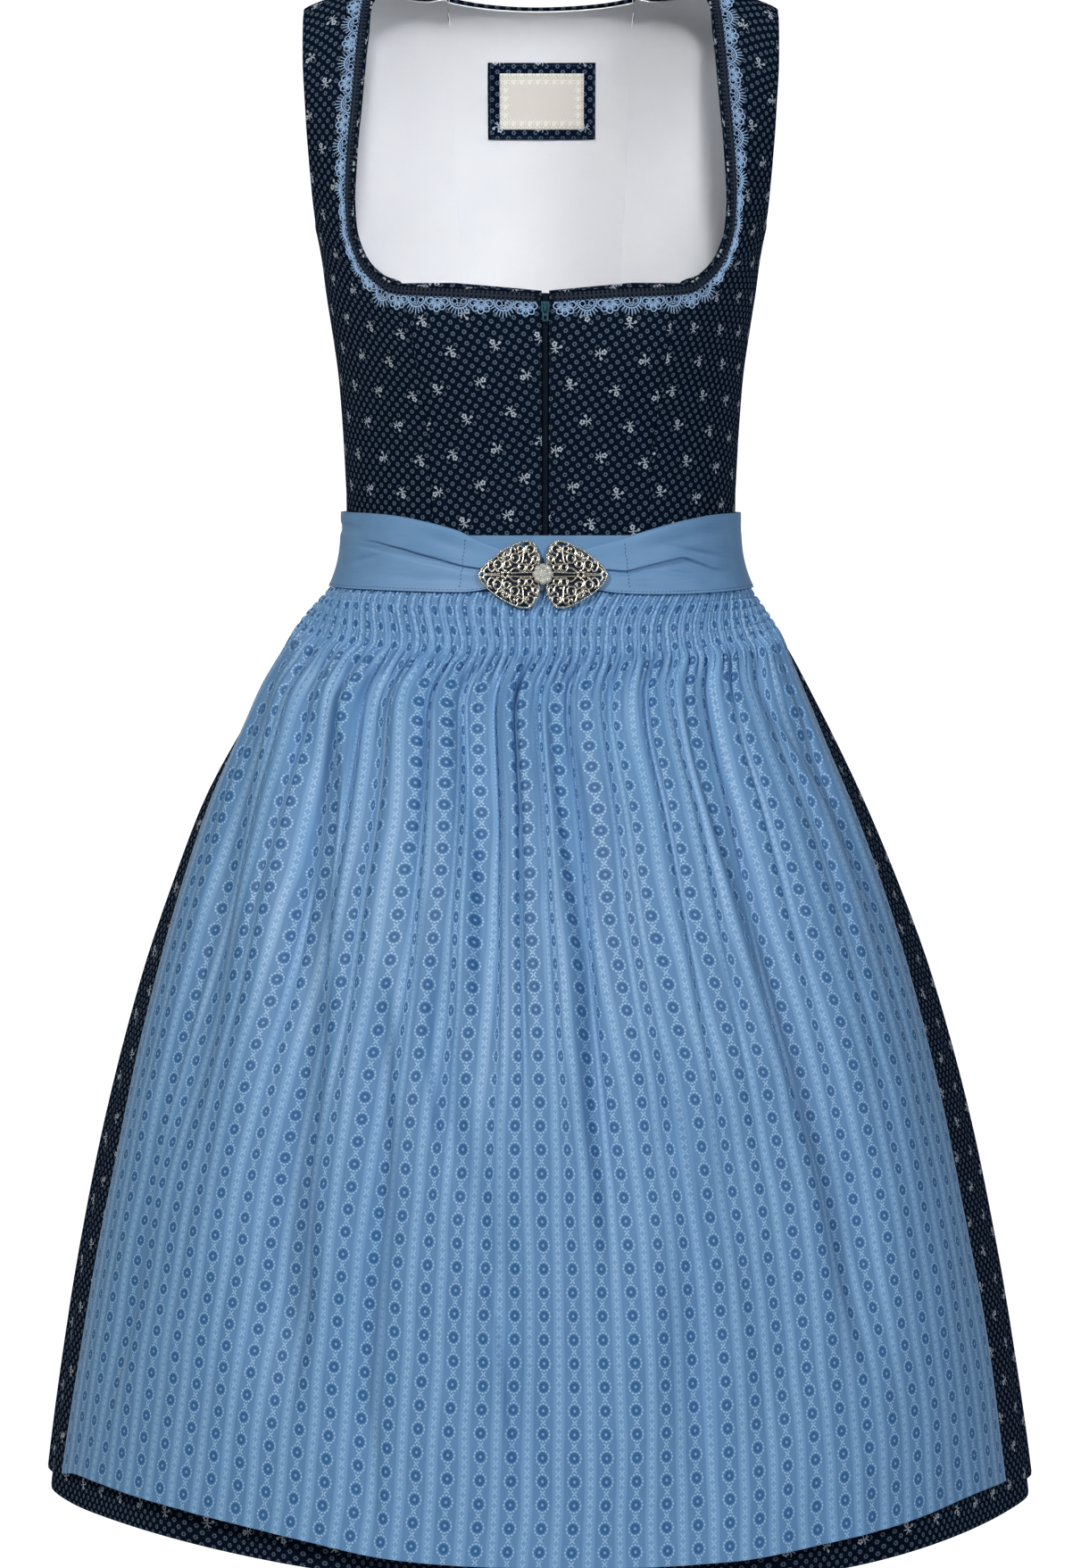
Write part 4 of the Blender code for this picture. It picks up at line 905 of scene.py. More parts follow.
SLIDER_CLEARS = 3.1
NECK_SIDES = (("_left", neck_grid(ZIP_X + SLIDER_CLEARS), False),
              ("_right", neck_grid(SLIDER_CLEARS - ZIP_X), True))
for end, grid, flip in NECK_SIDES:
    along = np.arange(0.0, len(grid[0]) - 1, 2.0)
    path, normals = beside_neck(grid, along, PIPING_AT, PIPING_OUT)
    parts = [cord(path, normals, PIPING_RADIUS, sides=8)]
    piping = new_trim("neck_piping" + end, parts, printed_cotton, flip)
    sewn_on(piping)

# Neck braid
# A flat gimp braid of dark blue viscose, sewn on beside the piping. Its cord runs in two
# rows of small loops on a woven band.
BRAID_BAND = (1.9, 7.7)
BRAID_BAND_OUT = 0.35
BRAID_BAND_THICK = 0.45
BRAID_ROWS = (3.35, 6.25)
BRAID_LOOP_PITCH = 2.9
BRAID_LOOP_LONG = 1.15
BRAID_LOOP_WIDE = 1.3
BRAID_LOOP_STEPS = 14
BRAID_CORD = 0.42
BRAID_LOOP_RISE = 0.22


def twist(tree, place, pitch):
    """The height of the strands of a twisted thread."""
    turned = add_node(tree, "VectorMath", place, (1.0, 1.6, 0.0), operation="DOT_PRODUCT")
    wave = add_node(tree, "Math", turned, math.tau / pitch, operation="MULTIPLY")
    return add_node(tree, "Math", wave, operation="SINE")


def make_cord_material(name, dark, light, pitch, **values):
    """Twisted yarn whose strands stand out a little, with painted shade between the strands and painted
    highlight on them.
    """
    material, tree, shader = new_material(name, **values)
    strands = twist(tree, cloth_place(tree), pitch)
    # The strands' height also sets the colour: darker between them as painted shade, lighter on them as
    # painted highlight.
    share = add_node(tree, "MapRange", strands, -1.0, 1.0, 0.0, 1.0)
    tree.links.new(coloured(tree, share, dark, light), shader.inputs["Base Color"])
    relief(tree, shader, strands, 0.05, 0.6)
    return material


# Of each yarn's two colours, the darker is painted shade between its strands and the lighter is painted
# highlight on them.
gimp = make_cord_material("twisted viscose gimp", "#0f1a2b", "#2b3d56", 0.9, Roughness=0.42,
                          Specular_IOR_Level=0.35)
braid_ground = make_cord_material("ribbed viscose band", "#060b14", "#0d1522", 0.8, Roughness=0.7,
                                  Specular_IOR_Level=0.15)
for end, grid, flip in NECK_SIDES:
    last = len(grid[0]) - 1
    along, away = np.meshgrid(np.arange(0.0, last, 2.0), np.linspace(*BRAID_BAND, 4), indexing="ij")
    low, _ = beside_neck(grid, along, away, BRAID_BAND_OUT)
    high, _ = beside_neck(grid, along, away, BRAID_BAND_OUT + BRAID_BAND_THICK)
    band_points = np.concatenate([high.reshape(-1, 3), low.reshape(-1, 3)])
    band_places = np.stack([along, away], -1).reshape(-1, 2) * MM
    band = [(band_points, wall_faces(high, low), np.concatenate([band_places, band_places]))]
    braid = new_trim("braid_band" + end, band, braid_ground, flip)
    sewn_on(braid, "neck_braid" + end)
    parts = []
    loops = int((last - 3) / BRAID_LOOP_PITCH)
    phase = np.arange(loops * BRAID_LOOP_STEPS + 1) * math.tau / BRAID_LOOP_STEPS
    for row, side in zip(BRAID_ROWS, (1, -1)):
        along = 1.2 + BRAID_LOOP_PITCH * phase / math.tau + BRAID_LOOP_LONG * np.sin(phase)
        away = row + side * BRAID_LOOP_WIDE * np.cos(phase)
        out = BRAID_BAND_OUT + BRAID_BAND_THICK + BRAID_CORD + BRAID_LOOP_RISE * np.sin(phase + 0.8)
        path, normals = beside_neck(grid, along, away, out)
        parts.append(cord(path, normals, BRAID_CORD, sides=5))
    cords = new_trim("braid_loops" + end, parts, gimp, flip)
    sewn_on(cords)

# Neck lace
# Light blue guipure lace of thick cotton thread, caught under the braid. A half flower of
# looped petals alternates with a fan of fine spokes. At the lower corners it stands on edge.
LACE_START = 7.2
LACE_PITCH = 14.4
LACE_LINE = 13
LACE_OUT = 0.62
LACE_THREAD = 0.40
LACE_RISES = 0.42
LACE_STANDS = (
    # place along the neckline, share of the width that lies flat
    (0.0, 0.96),
    (120.0, 0.94),
    (148.0, 0.66),
    (172.0, 0.24),
    (206.0, 0.24),
    (219.0, 0.44),
    (236.0, 0.94),
    (252.0, 1.0),
    (340.0, 1.0),
)


def arc(x, y, across, deep, first, last, steps):
    """Part of an ellipse on the lace's chart, its angles from the neckline's direction."""
    angle = np.radians(np.linspace(first, last, steps))
    return np.stack([x + across * np.cos(angle), y + deep * np.sin(angle)], -1)


def petal_loop(x, y, angle, distance, long, wide, steps=16):
    """A closed loop that points away from x and y at an angle."""
    round_it = np.arange(steps) * math.tau / steps
    a = math.radians(angle)
    out = distance + long * np.cos(round_it)
    side = wide * np.sin(round_it)
    across = x + out * math.cos(a) - side * math.sin(a)
    return np.stack([across, y + out * math.sin(a) + side * math.cos(a)], -1)


def half_flower():
    """Closed loops, open strands and their thicknesses on the chart of the flower motif."""
    closed, opened = [], [(arc(0, 0.4, 6.6, 1.1, 175, 5, 10), 0.7)]
    for angle in (4, 47, 90, 133, 176):
        closed.append((petal_loop(0, 2.6, angle, 4.7, 2.55, 2.0), 1.15))
        closed.append((petal_loop(0, 2.6, angle, 3.9, 1.15, 0.45, 10), 0.62))
    closed.append((petal_loop(0, 2.4, 0, 0.0, 1.35, 1.35, 12), 0.85))
    return closed, opened


def fan():
    """Closed loops, open strands and their thicknesses on the chart of the fan motif."""
    closed = [(petal_loop(x, 2.6, 90, 0.0, 1.7, 1.8, 12), 0.85) for x in (-2.9, 2.9)]
    closed.append((petal_loop(0, 4.4, 90, 0.0, 0.8, 1.0, 10), 0.65))
    opened = [(arc(0, 0.4, 6.5, 6.7, 178, 2, 22), 1.25), (arc(0, 0.4, 5.1, 5.3, 172, 8, 16), 0.6)]
    for k in range(9):
        angle = math.radians(34 + 14 * k)
        tip = 11.6 - 1.0 * abs(math.cos(angle)) - 0.3 * (k % 2)
        spoke = [(r * 0.92 * math.cos(angle), 0.4 + r * math.sin(angle)) for r in (7.0, 8.5, 10.0, tip)]
        opened.append((np.array(spoke), 0.85))
    return closed, opened


def laid(grid, lengths, chart, middle, height):
    """Puts a strand of the chart on the bodice, where the lace lies flat or stands on edge."""
    along = np.interp(middle + chart[:, 0], lengths, np.arange(len(lengths)))
    flat_share = np.minimum(table_at(LACE_STANDS, along)[..., 0], 1.0)
    away = LACE_START + chart[:, 1] * flat_share
    out = LACE_OUT + height + chart[:, 1] * np.sqrt(1 - flat_share ** 2) * LACE_RISES
    return beside_neck(grid, along, away, out)


# The lace thread's darker blue is painted shade between its strands, and the lighter one painted
# highlight on them.
lace_cotton = make_cord_material("guipure lace cotton", "#7fa9d8", "#b4d3f2", 0.8, Roughness=0.75,
                                 Specular_IOR_Level=0.25, Sheen_Weight=0.25)
for end, grid, flip in NECK_SIDES:
    line = grid[0][:, LACE_LINE]
    lengths = summed(steps_between(line))
    count = int((lengths[-1] - 1.0) / LACE_PITCH)
    first = lengths[-1] - LACE_PITCH * (count - 0.5) - 1.5
    parts = []
    for k in range(count):
        closed, opened = half_flower() if k % 2 else fan()
        for kind, strands in ((True, closed), (False, opened)):
            for n, (chart, thick) in enumerate(strands):
                middle = first + LACE_PITCH * k
                path, normals = laid(grid, lengths, chart, middle, 0.10 * (n % 3))
                parts.append(cord(path, normals, LACE_THREAD * thick, sides=5, closed=kind))
    at = np.arange(first - LACE_PITCH / 2, first + LACE_PITCH * (count - 0.5), 0.9)
    chart = np.stack([at, 0.3 + 0.2 * np.sin(at * math.pi / 1.8)], -1)
    path, normals = laid(grid, lengths, chart, 0.0, 0.0)
    parts.append(cord(path, normals, LACE_THREAD * 0.8, sides=5))
    lace = new_trim("lace" + end, parts, lace_cotton, flip)
    sewn_on(lace, "neck_lace" + end)

# Zip
# A fine spiral zip in dark teal, sewn in behind the edges of the two centre fronts. Its
# nylon coil just fills the gap. The enamelled slider and its pull tab are the model's own.
ZIP_TOP = 210.0
ZIP_BOTTOM = WAIST_DROP - SEAM_GAP
ZIP_TAPE_AT = 0.75
ZIP_TAPE_BEHIND = 2.3
ZIP_TAPE_THICK = 0.4
ZIP_STITCHES_BESIDE = 1.5
COIL_STARTS = 13.5
COIL_PITCH = 1.15
COIL_HALF_WIDTH = 1.25
COIL_WIRE = 0.30
COIL_STEPS = 10
STITCH_LONG = 2.3
STITCH_GAP = 0.9
THREAD = 0.17


def dashes(path, normals, long=STITCH_LONG, gap=STITCH_GAP, radius=THREAD, lift=0.12):
    """A row of stitches along a path, each dipping into the cloth at both ends."""
    lengths = summed(steps_between(path))
    made = []
    for start in np.arange(gap, lengths[-1] - long, long + gap):
        at = start + long * np.linspace(0, 1, 5)
        points = np.stack([np.interp(at, lengths, path[:, k]) for k in range(3)], -1)
        up = unit(np.stack([np.interp(at, lengths, normals[:, k]) for k in range(3)], -1))
        rise = lift * np.array([-1.4, 0.6, 1.0, 0.6, -1.4])
        made.append(cord(points + up * rise[:, None], up, radius, sides=4))
    return made


def make_hard_material(name, scale, dark, light, **values):
    """Enamel, glass or the dark metal of the plate painted as shade behind the filigree: smooth, with a
    soft drift of colour in the piece itself.
    """
    material, tree, shader = new_material(name, **values)
    place = add_node(tree, "TexCoord").node.outputs["Object"]
    tree.links.new(mottled(tree, place, scale, dark, light), shader.inputs["Base Color"])
    return material


def make_thread(name, colour, roughness=0.6):
    """Spun polyester sewing thread: one even colour, with little gloss."""
    return new_material(name, Roughness=roughness, Specular_IOR_Level=0.3, Base_Color=linear(colour))[0]


# Of each yarn's two colours, the darker is painted shade between its strands and the lighter is painted
# highlight on them.
zip_yarn = make_cord_material("woven zip tape", "#04111f", "#0a1a2a", 0.8,
                              Roughness=0.7, Specular_IOR_Level=0.1)
nylon = make_cord_material("nylon zip coil", "#061522", "#0e2334", 1.2,
                           Roughness=0.5, Specular_IOR_Level=0.2)
half_tape = np.array([0.9, 1.6, 1.9, 2.05, 2.2, 2.5, 3.0, 3.6])
across = np.concatenate([-half_tape[::-1], [0.0], half_tape])
x, drop = np.meshgrid(ZIP_X + across, np.linspace(ZIP_TOP, ZIP_BOTTOM, 60))
turn = turn_at(x, drop)
sunk = ZIP_TAPE_AT + (ZIP_TAPE_BEHIND - ZIP_TAPE_AT) * eased(1.5, 2.1, np.abs(x - ZIP_X))
outer, inner = form_point(turn, drop, -sunk), form_point(turn, drop, -sunk - ZIP_TAPE_THICK)
uv = flat_places(outer, 8)
tape = closed_cloth("zip_tape_strip", outer, inner, uv, zip_yarn)
sewn_on(tape, "zip_strip")
turns = int((ZIP_BOTTOM - ZIP_TOP - COIL_STARTS - 0.5) / COIL_PITCH)
phase = np.arange(turns * COIL_STEPS + 1) * math.tau / COIL_STEPS
drop = ZIP_TOP + COIL_STARTS + COIL_PITCH * phase / math.tau
turn = turn_at(ZIP_X + COIL_HALF_WIDTH * np.cos(phase), drop)
path = form_point(turn, drop, -0.25 + 0.22 * np.sin(phase))
coil = new_trim("zip_coil", [cord(path, form_normal(turn, drop), COIL_WIRE, sides=5)], nylon)
sewn_on(coil)
enamel = make_hard_material("fired teal enamel", 900.0, "#214755", "#2f6070", Roughness=0.28,
                            Specular_IOR_Level=0.55, Coat_Weight=0.4, Coat_Roughness=0.12)
for node in ("zip_slider", "zip_pull_tab"):
    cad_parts[node].data.materials.clear()
    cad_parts[node].data.materials.append(enamel)

zip_thread = make_thread("polyester zip thread", "#1c2b3c", 0.55)
parts = []
for x in (ZIP_X - ZIP_HALF_WIDTH - ZIP_STITCHES_BESIDE, ZIP_X + ZIP_HALF_WIDTH + ZIP_STITCHES_BESIDE):
    drop = np.arange(CENTRE_FRONT_TOP + 3.0, WAIST_DROP - 13.0, 1.0)
    turn = turn_at(np.full(len(drop), x), drop)
    parts += dashes(form_point(turn, drop, unevenness(turn, drop)), form_normal(turn, drop))
stitching = new_trim("zip_stitches", parts, zip_thread)
sewn_on(stitching)

# Label
# A patch of the print with turned edges is stitched to the lining, and on it a cream label
# with a damask figure. The label is left bare.
PATCH_BOX = (-36.5, 37.5, 46.5, 98.5)
LABEL_BOX = (-28.5, 29.5, 53.5, 91.5)
PATCH_THICK = 1.0
PATCH_GAP = 0.7
LABEL_BEHIND = CLOTH + LINING_GAP + LINING + PATCH_GAP
PATCH_STITCH_INSET = 1.6
DAMASK_FIELD = (22.5, 12.0)
DAMASK_PITCH = 5.6


def patch_grid(box, behind):
    """The hidden and the showing face of a small patch inside the back."""
    right, left, top, bottom = box
    edge = np.array([0.0, 0.25, 0.6, 1.1, 1.8])
    x = np.concatenate([left - edge, np.linspace(left - 4, right + 4, 24), right + edge[::-1]])
    down = np.concatenate([top + edge, np.linspace(top + 4, bottom - 4, 16), bottom - edge[::-1]])
    x, drop = np.meshgrid(x, down)
    near = np.minimum(np.minimum(left - x, x - right), np.minimum(drop - top, bottom - drop))
    thick = PATCH_THICK * (0.45 + 0.55 * (1 - np.exp(-near / 0.45)))
    dip = 0.28 * np.exp(-((near - 1.6) / 0.5) ** 2)
    turn = 180.0 - turn_at(x, drop)
    outer = form_point(turn, drop, np.full(x.shape, -behind))
    inner = form_point(turn, drop, -behind - thick + dip)
    return outer, inner, np.stack([x, -drop], -1) * MM


def patch_stitches(box, behind, inset):
    """Running stitches round a patch, on its showing face."""
    right, left, top, bottom = box
    corners = [(left - inset, top + inset), (right + inset, top + inset), (right + inset, bottom - inset),
               (left - inset, bottom - inset), (left - inset, top + inset)]
    made = []
    for (x0, z0), (x1, z1) in zip(corners, corners[1:]):
        f = np.linspace(0, 1, 40)
        x, drop = x0 + (x1 - x0) * f, z0 + (z1 - z0) * f
        turn = 180.0 - turn_at(x, drop)
        normals = -form_normal(turn, drop)
        path = form_point(turn, drop, np.full(len(f), -behind - PATCH_THICK + 0.1))
        made += dashes(path, normals, 2.0, 0.8)
    return made


def make_damask():
    """Cream damask of viscose, woven in two twills: leaves in a duller line round a plain field."""
    material, tree, shader = new_material(
        "cream damask label", Roughness=0.48, Specular_IOR_Level=0.4, Sheen_Weight=0.15)
    place = cloth_place(tree)
    middle = ((LABEL_BOX[0] + LABEL_BOX[1]) / 2, -(LABEL_BOX[2] + LABEL_BOX[3]) / 2, 0.0)
    centred = add_node(tree, "VectorMath", place, middle, operation="SUBTRACT")
    folded = add_node(tree, "VectorMath", centred, operation="ABSOLUTE")
    x = add_node(tree, "SeparateXYZ", folded)
    sides = [add_node(tree, "MapRange", value, half + 0.2, half - 0.2, 0.0, 1.0)
             for value, half in zip((x, x.node.outputs["Y"]), DAMASK_FIELD)]
    field = add_node(tree, "Math", *sides, operation="MULTIPLY")
    in_leaf, _ = tiled(tree, centred, DAMASK_PITCH, DAMASK_PITCH)
    leaf = petals(tree, in_leaf, 3, 1.55, 1.20, math.pi / 5, 0.12)
    vein = petals(tree, in_leaf, 3, 1.55, 0.85, math.pi / 5, 0.12)
    figure = without(tree, without(tree, leaf, vein), field)
    colour = coloured(tree, field, "#ece8df", "#ddd7d0")
    colour = coloured(tree, figure, colour, "#b9b4aa")
    tree.links.new(colour, shader.inputs["Base Color"])
    height = add_node(tree, "Math", plain_weave(tree, place, 0.6), 0.3, figure, operation="MULTIPLY_ADD")
    relief(tree, shader, height, 0.05, 0.5)
    return material


damask = make_damask()
patch_thread = make_thread("navy sewing thread", "#1d2a3e")
label_thread = make_thread("cream sewing thread", "#d9d4c8")
for node, box, behind, material, slot_name, thread in (
    ("label_patch", PATCH_BOX, LABEL_BEHIND, printed_cotton, "printed_cotton", patch_thread),
    ("label", LABEL_BOX, LABEL_BEHIND + PATCH_THICK + PATCH_GAP, damask, "woven_label", label_thread),
):
    outer, inner, uv = patch_grid(box, behind)
    patch = closed_cloth(node + "_sewn", outer, inner, uv, material)
    sewn_on(patch, node)
    sewing = new_trim(node + "_stitches", patch_stitches(box, behind, PATCH_STITCH_INSET), thread)
    sewn_on(sewing)

inside = [bpy.data.objects[name] for name in (
    "side_back_lining_left_sewn", "side_back_lining_right_sewn", "centre_back_lining_sewn",
    "label_patch_sewn", "label_patch_stitches", "label_sewn", "label_stitches")]
for light, state in ((key_light, "EXCLUDE"), (neck_light, "INCLUDE")):
    lit = bpy.data.collections.new(light.name + "_" + state.lower())
    for piece in inside:
        lit.objects.link(piece)
    for entry in lit.collection_objects:
        entry.light_linking.link_state = state
    light.light_linking.receiver_collection = lit

# Skirt
# Two lengths of the same print, gathered into the waist seam and sewn at the sides. The
# gathers start small under the belt and open into wide soft folds towards the hem.
SKIRT_TOP = WAIST_DROP + SEAM_GAP
HEM_DROP = 1016.0
GATHER_DEPTH = (
    # drop, depth of a full gather
    (380.0, 0.0),
    (404.0, 0.0),
    (444.0, 3.5),
    (505.0, 6.0),
    (610.0, 8.0),
    (790.0, 9.0),
    (1016.0, 9.5),
)
SMALL_GATHER_DEPTH = (
    # drop, depth of the small gathers beside the waist seam
    (380.0, 0.3),
    (404.0, 0.7),
    (440.0, 1.1),
    (500.0, 0.7),
    (600.0, 0.0),
    (1016.0, 0.0),
)
SIDE_FULLNESS = (
    # drop, on the wearer's right, on the left
    (380.0, 0.0, 0.0),
    (404.0, 1.0, 0.0),
    (424.0, 5.0, 2.0),
    (450.0, 8.6, 3.0),
    (490.0, 8.2, 3.0),
    (545.0, 9.4, 1.0),
    (600.0, 6.8, 0.0),
    (660.0, 4.9, -0.4),
    (760.0, 2.6, -1.5),
    (850.0, 1.6, -2.0),
    (1016.0, 2.0, 0.0),
)
FULLNESS_SPREAD = 36.0
HEM_RISES = (17.0, 12.5)
HEM_RISES_FROM = 620.0
BACK_GATHERS = 16
FRONT_GATHERS = 8
SMALL_GATHERS = 64
GATHER_WANDER = 0.25
GATHER_UNEVEN = 0.3
CALM_TURN = 60.0
HEM_ROLL = 0.5
FRONT_FLAT_WIDTH = 1010.0
BACK_FLAT_WIDTH = 1120.0


def fullness(turn, drop):
    """How much fuller the skirt hangs at its sides than the smooth form."""
    turned = from_front(turn)
    right, left = np.moveaxis(table_at(SIDE_FULLNESS, drop), -1, 0)
    aside = (np.abs(turned) - 90.0) / FULLNESS_SPREAD
    return np.where(turned < 0, right, left) * np.exp(-aside * aside)


def hem_rise(turn):
    """How much shorter the skirt hangs at its sides than at its front."""
    turned = from_front(turn)
    right = HEM_RISES[0] * eased(0.0, 60.0, -turned)
    left = HEM_RISES[1] * eased(25.0, 68.0, turned)
    return (right + left) * (1 - 0.6 * eased(90.0, 150.0, np.abs(turned)))


def gather(share, count, drop):
    """How far the cloth falls back between gathers, 0 at the two side seams."""
    wandering = share + GATHER_WANDER / count * np.sin(6 * math.pi * share)
    wave = (1 - np.cos(2 * math.pi * count * wandering)) / 2
    uneven = 1 - GATHER_UNEVEN * np.sin(5 * math.pi * share) ** 2
    return table_at(GATHER_DEPTH, drop)[..., 0] * wave * uneven


def gathered_places(grid, hidden, width):
    """Flat places of gathered cloth, with the share of the cloth that is hidden at each point."""
    u = summed(steps_between(grid, 1) * (1 + (hidden[:, 1:] + hidden[:, :-1]) / 2))
    u = u * width / u[:, -1:]
    v = -summed(steps_between(grid[:, grid.shape[1] // 2]))
    return np.stack([u, v[:, None] + np.zeros_like(u)], -1) * MM


def skirt_piece(node, first_turn, columns, count, calm, width):
    """Half the skirt, from one side seam to the other."""
    drops = np.concatenate([np.linspace(SKIRT_TOP, 500.0, 26), np.linspace(500.0, HEM_DROP - 2.0, 38)[1:],
                            [HEM_DROP - 1.0, HEM_DROP]])
    share, drop = np.meshgrid(np.linspace(0, 1, columns), drops)
    turn = first_turn + 180.0 * share
    drop = drop - hem_rise(turn) * eased(HEM_RISES_FROM, HEM_DROP, drop)
    wave = gather(share, count, drop)
    small = table_at(SMALL_GATHER_DEPTH, drop)[..., 0]
    small = small * (1 - np.cos(2 * math.pi * SMALL_GATHERS * (share + 0.004 * np.sin(23 * share)))) / 2
    small = small * eased(0.0, 0.03, np.minimum(share, 1 - share))
    depth = wave + small
    if calm:
        depth = depth * eased(CALM_TURN, 90.0, np.abs(turn))
    base = form_point(turn, drop, fullness(turn, drop) - depth)
    normals = grid_normals(base)
    normals[:, 0] = form_normal(turn[:, 0], drop[:, 0])
    normals[:, -1] = form_normal(turn[:, -1], drop[:, -1])
    base[:, 0] += unit(base[:, 1] - base[:, 0]) * SEAM_GAP / 2
    base[:, -1] += unit(base[:, -2] - base[:, -1]) * SEAM_GAP / 2
    side = np.minimum(share, 1 - share) * steps_between(base, 1).sum(1)[:, None]
    sunk = SEAM_SINKS * np.exp(-(side / 1.6) ** 2)
    rolled = HEM_ROLL * eased(HEM_DROP - 3.0, HEM_DROP, drops)[:, None]
    outer = base - normals * (sunk + rolled)[..., None]
    inner = base - normals * (CLOTH - rolled * 0.4)[..., None]
    uv = gathered_places(base, wave / 10.0, width)
    skirt = closed_cloth(node + "_length", outer, inner, uv, printed_cotton, 2, 2)
    sewn_on(skirt, node)


skirt_piece("skirt_front", -90.0, 385, FRONT_GATHERS, True, FRONT_FLAT_WIDTH)
skirt_piece("skirt_back", 90.0, 481, BACK_GATHERS, False, BACK_FLAT_WIDTH)

# Apron
# One width of light blue jacquard, gathered into close smocked ribs below the belt. Rows
# of stitches hold the ribs, which open into deep small folds and then into a few large ones.
APRON_CLOTH = 1.0
APRON_EDGES = (
    # drop, wearer's right edge, wearer's left edge
    (403.8, 137.0, 137.0),
    (424.0, 150.0, 148.5),
    (444.0, 162.0, 160.0),
    (470.0, 177.0, 171.0),
    (505.0, 193.5, 186.0),
    (550.0, 213.0, 206.0),
    (610.0, 235.0, 228.0),
    (690.0, 257.5, 251.0),
    (790.0, 279.5, 273.0),
    (900.0, 300.0, 293.0),
    (1000.0, 315.0, 305.0),
)
APRON_TOP = 403.8
SMOCK_END = 446.0
SMOCK_SHORT = 0.30
SMOCK_EVEN = 560.0
FOLDS_START = 470.0
APRON_HEM = 1002.0
APRON_HEM_RISES = (
    # share of the width, how much higher the hem hangs
    (-1.0, 20.0),
    (-0.92, 25.0),
    (-0.83, 26.0),
    (-0.68, 23.4),
    (-0.52, 18.7),
    (-0.37, 12.0),
    (-0.22, 3.5),
    (-0.05, 0.0),
    (0.33, 0.0),
    (0.51, 6.5),
    (0.65, 11.8),
    (0.76, 17.0),
    (0.87, 20.5),
    (1.0, 19.5),
)
APRON_CLEARANCE = (
    # drop, distance of the inner face from the skirt
    (403.8, 0.6),
    (424.0, 1.4),
    (444.0, 2.0),
    (505.0, 2.4),
    (1016.0, 2.6),
)
APRON_LIFT = (
    # drop, how far the folds stand out between their troughs
    (403.8, 0.0),
    (446.0, 0.0),
    (470.0, 4.5),
    (505.0, 8.5),
    (610.0, 14.0),
    (760.0, 15.5),
    (900.0, 13.0),
    (1016.0, 9.5),
)
APRON_FANS = (
    # drop, share of the width by which the middle runs upright
    (403.8, 0.0),
    (424.0, 0.13),
    (444.0, 0.20),
    (505.0, 0.27),
    (610.0, 0.28),
    (760.0, 0.19),
    (900.0, 0.08),
    (1016.0, 0.0),
)
SMOCK_RIBS = 140
RIB_COLUMNS = 6
RIB_RISE = 2.7
STITCH_ROWS = (411.8, 419.9, 427.4, 434.8, 442.0)
STITCH_PINCH = 0.5
RIB_FADE = 466.0
PAIR_DEPTH = (
    # drop, depth of the folds of two ribs each
    (403.8, 0.0),
    (443.0, 0.0),
    (452.0, 2.6),
    (470.0, 1.6),
    (510.0, 0.0),
    (1016.0, 0.0),
)
SMALL_FOLDS = 20
SMALL_FOLD_DEPTH = (
    # drop, depth of the small folds that leave the smocking
    (403.8, 0.0),
    (444.0, 0.0),
    (453.0, 4.4),
    (466.0, 7.0),
    (505.0, 8.2),
    (550.0, 6.6),
    (610.0, 4.4),
    (700.0, 2.4),
    (820.0, 1.2),
    (1016.0, 0.5),
)
FOLD_VALLEY = 0.13
FOLD_WANDERS = ((0.013, 11.0, 0.0), (0.007, 27.0, 1.0))
TROUGHS = (
    # from drop, to drop, depth, half width, steep, places at the drops below
    (425.0, 800.0, 13.0, 0.050, 0, (-0.90, -0.76, -0.71, -0.69, -0.68)),
    (430.0, 960.0, 16.0, 0.060, 1, (-0.58, -0.46, -0.43, -0.41, -0.40)),
    (436.0, 560.0, 9.0, 0.040, 1, (-0.40, -0.36, -0.35, -0.35, -0.35)),
    (440.0, 740.0, 13.0, 0.060, -1, (-0.13, -0.10, -0.08, -0.06, -0.05)),
    (445.0, 860.0, 14.0, 0.055, -1, (0.11, 0.11, 0.13, 0.15, 0.16)),
    (450.0, 580.0, 9.0, 0.040, -1, (0.26, 0.27, 0.28, 0.28, 0.28)),
    (440.0, 930.0, 16.0, 0.060, -1, (0.49, 0.46, 0.53, 0.60, 0.64)),
    (448.0, 680.0, 13.0, 0.050, 0, (0.70, 0.87, 0.90, 0.90, 0.90)),
    (600.0, 1010.0, 8.0, 0.035, 1, (-0.72, -0.74, -0.77, -0.79, -0.80)),
    (640.0, 1030.0, 8.0, 0.032, 1, (-0.37, -0.38, -0.27, -0.26, -0.24)),
    (620.0, 1030.0, 8.0, 0.032, -1, (-0.14, -0.12, -0.18, -0.05, 0.03)),
    (690.0, 1030.0, 8.0, 0.032, 1, (0.30, 0.30, 0.28, 0.30, 0.31)),
    (700.0, 980.0, 6.0, 0.090, 0, (0.40, 0.40, 0.41, 0.43, 0.43)),
)
TROUGH_DROPS = (444.0, 560.0, 680.0, 850.0, 1000.0)
TROUGH_FADE = 55.0
STEEP_SHARE = 0.42
GENTLE_SHARE = 1.6
APRON_EDGE_POWER = 6
APRON_FLAT_WIDTH = 836.0
APRON_HEM_RISES_FROM = 640.0
RIB_VALLEY = 0.20
SMALL_FOLD_VALLEY = 0.14
STRIPE_PITCH = 22.0
LIGHT_STRIPE_HALF = 3.9
MEDALLION_PITCH = 14.5
CROSS_PITCH = 5.75


def fanned(share, level):
    """Where a share of the cloth lies: more upright in the middle, more fanned at the sides."""
    fan = table_at(APRON_FANS, level)[..., 0]
    return share * (1 - fan + fan * np.abs(share) ** 1.6)


def apron_turn(share, drop):
    """The turn at a share of the apron's width, -1 at the wearer's right edge."""
    right, left = np.moveaxis(table_at(APRON_EDGES, drop), -1, 0)
    out = table_at(APRON_CLEARANCE, drop)[..., 0]
    first = -turn_at(right, drop, out)
    return first + (turn_at(left, drop, out) - first) * (share + 1) / 2


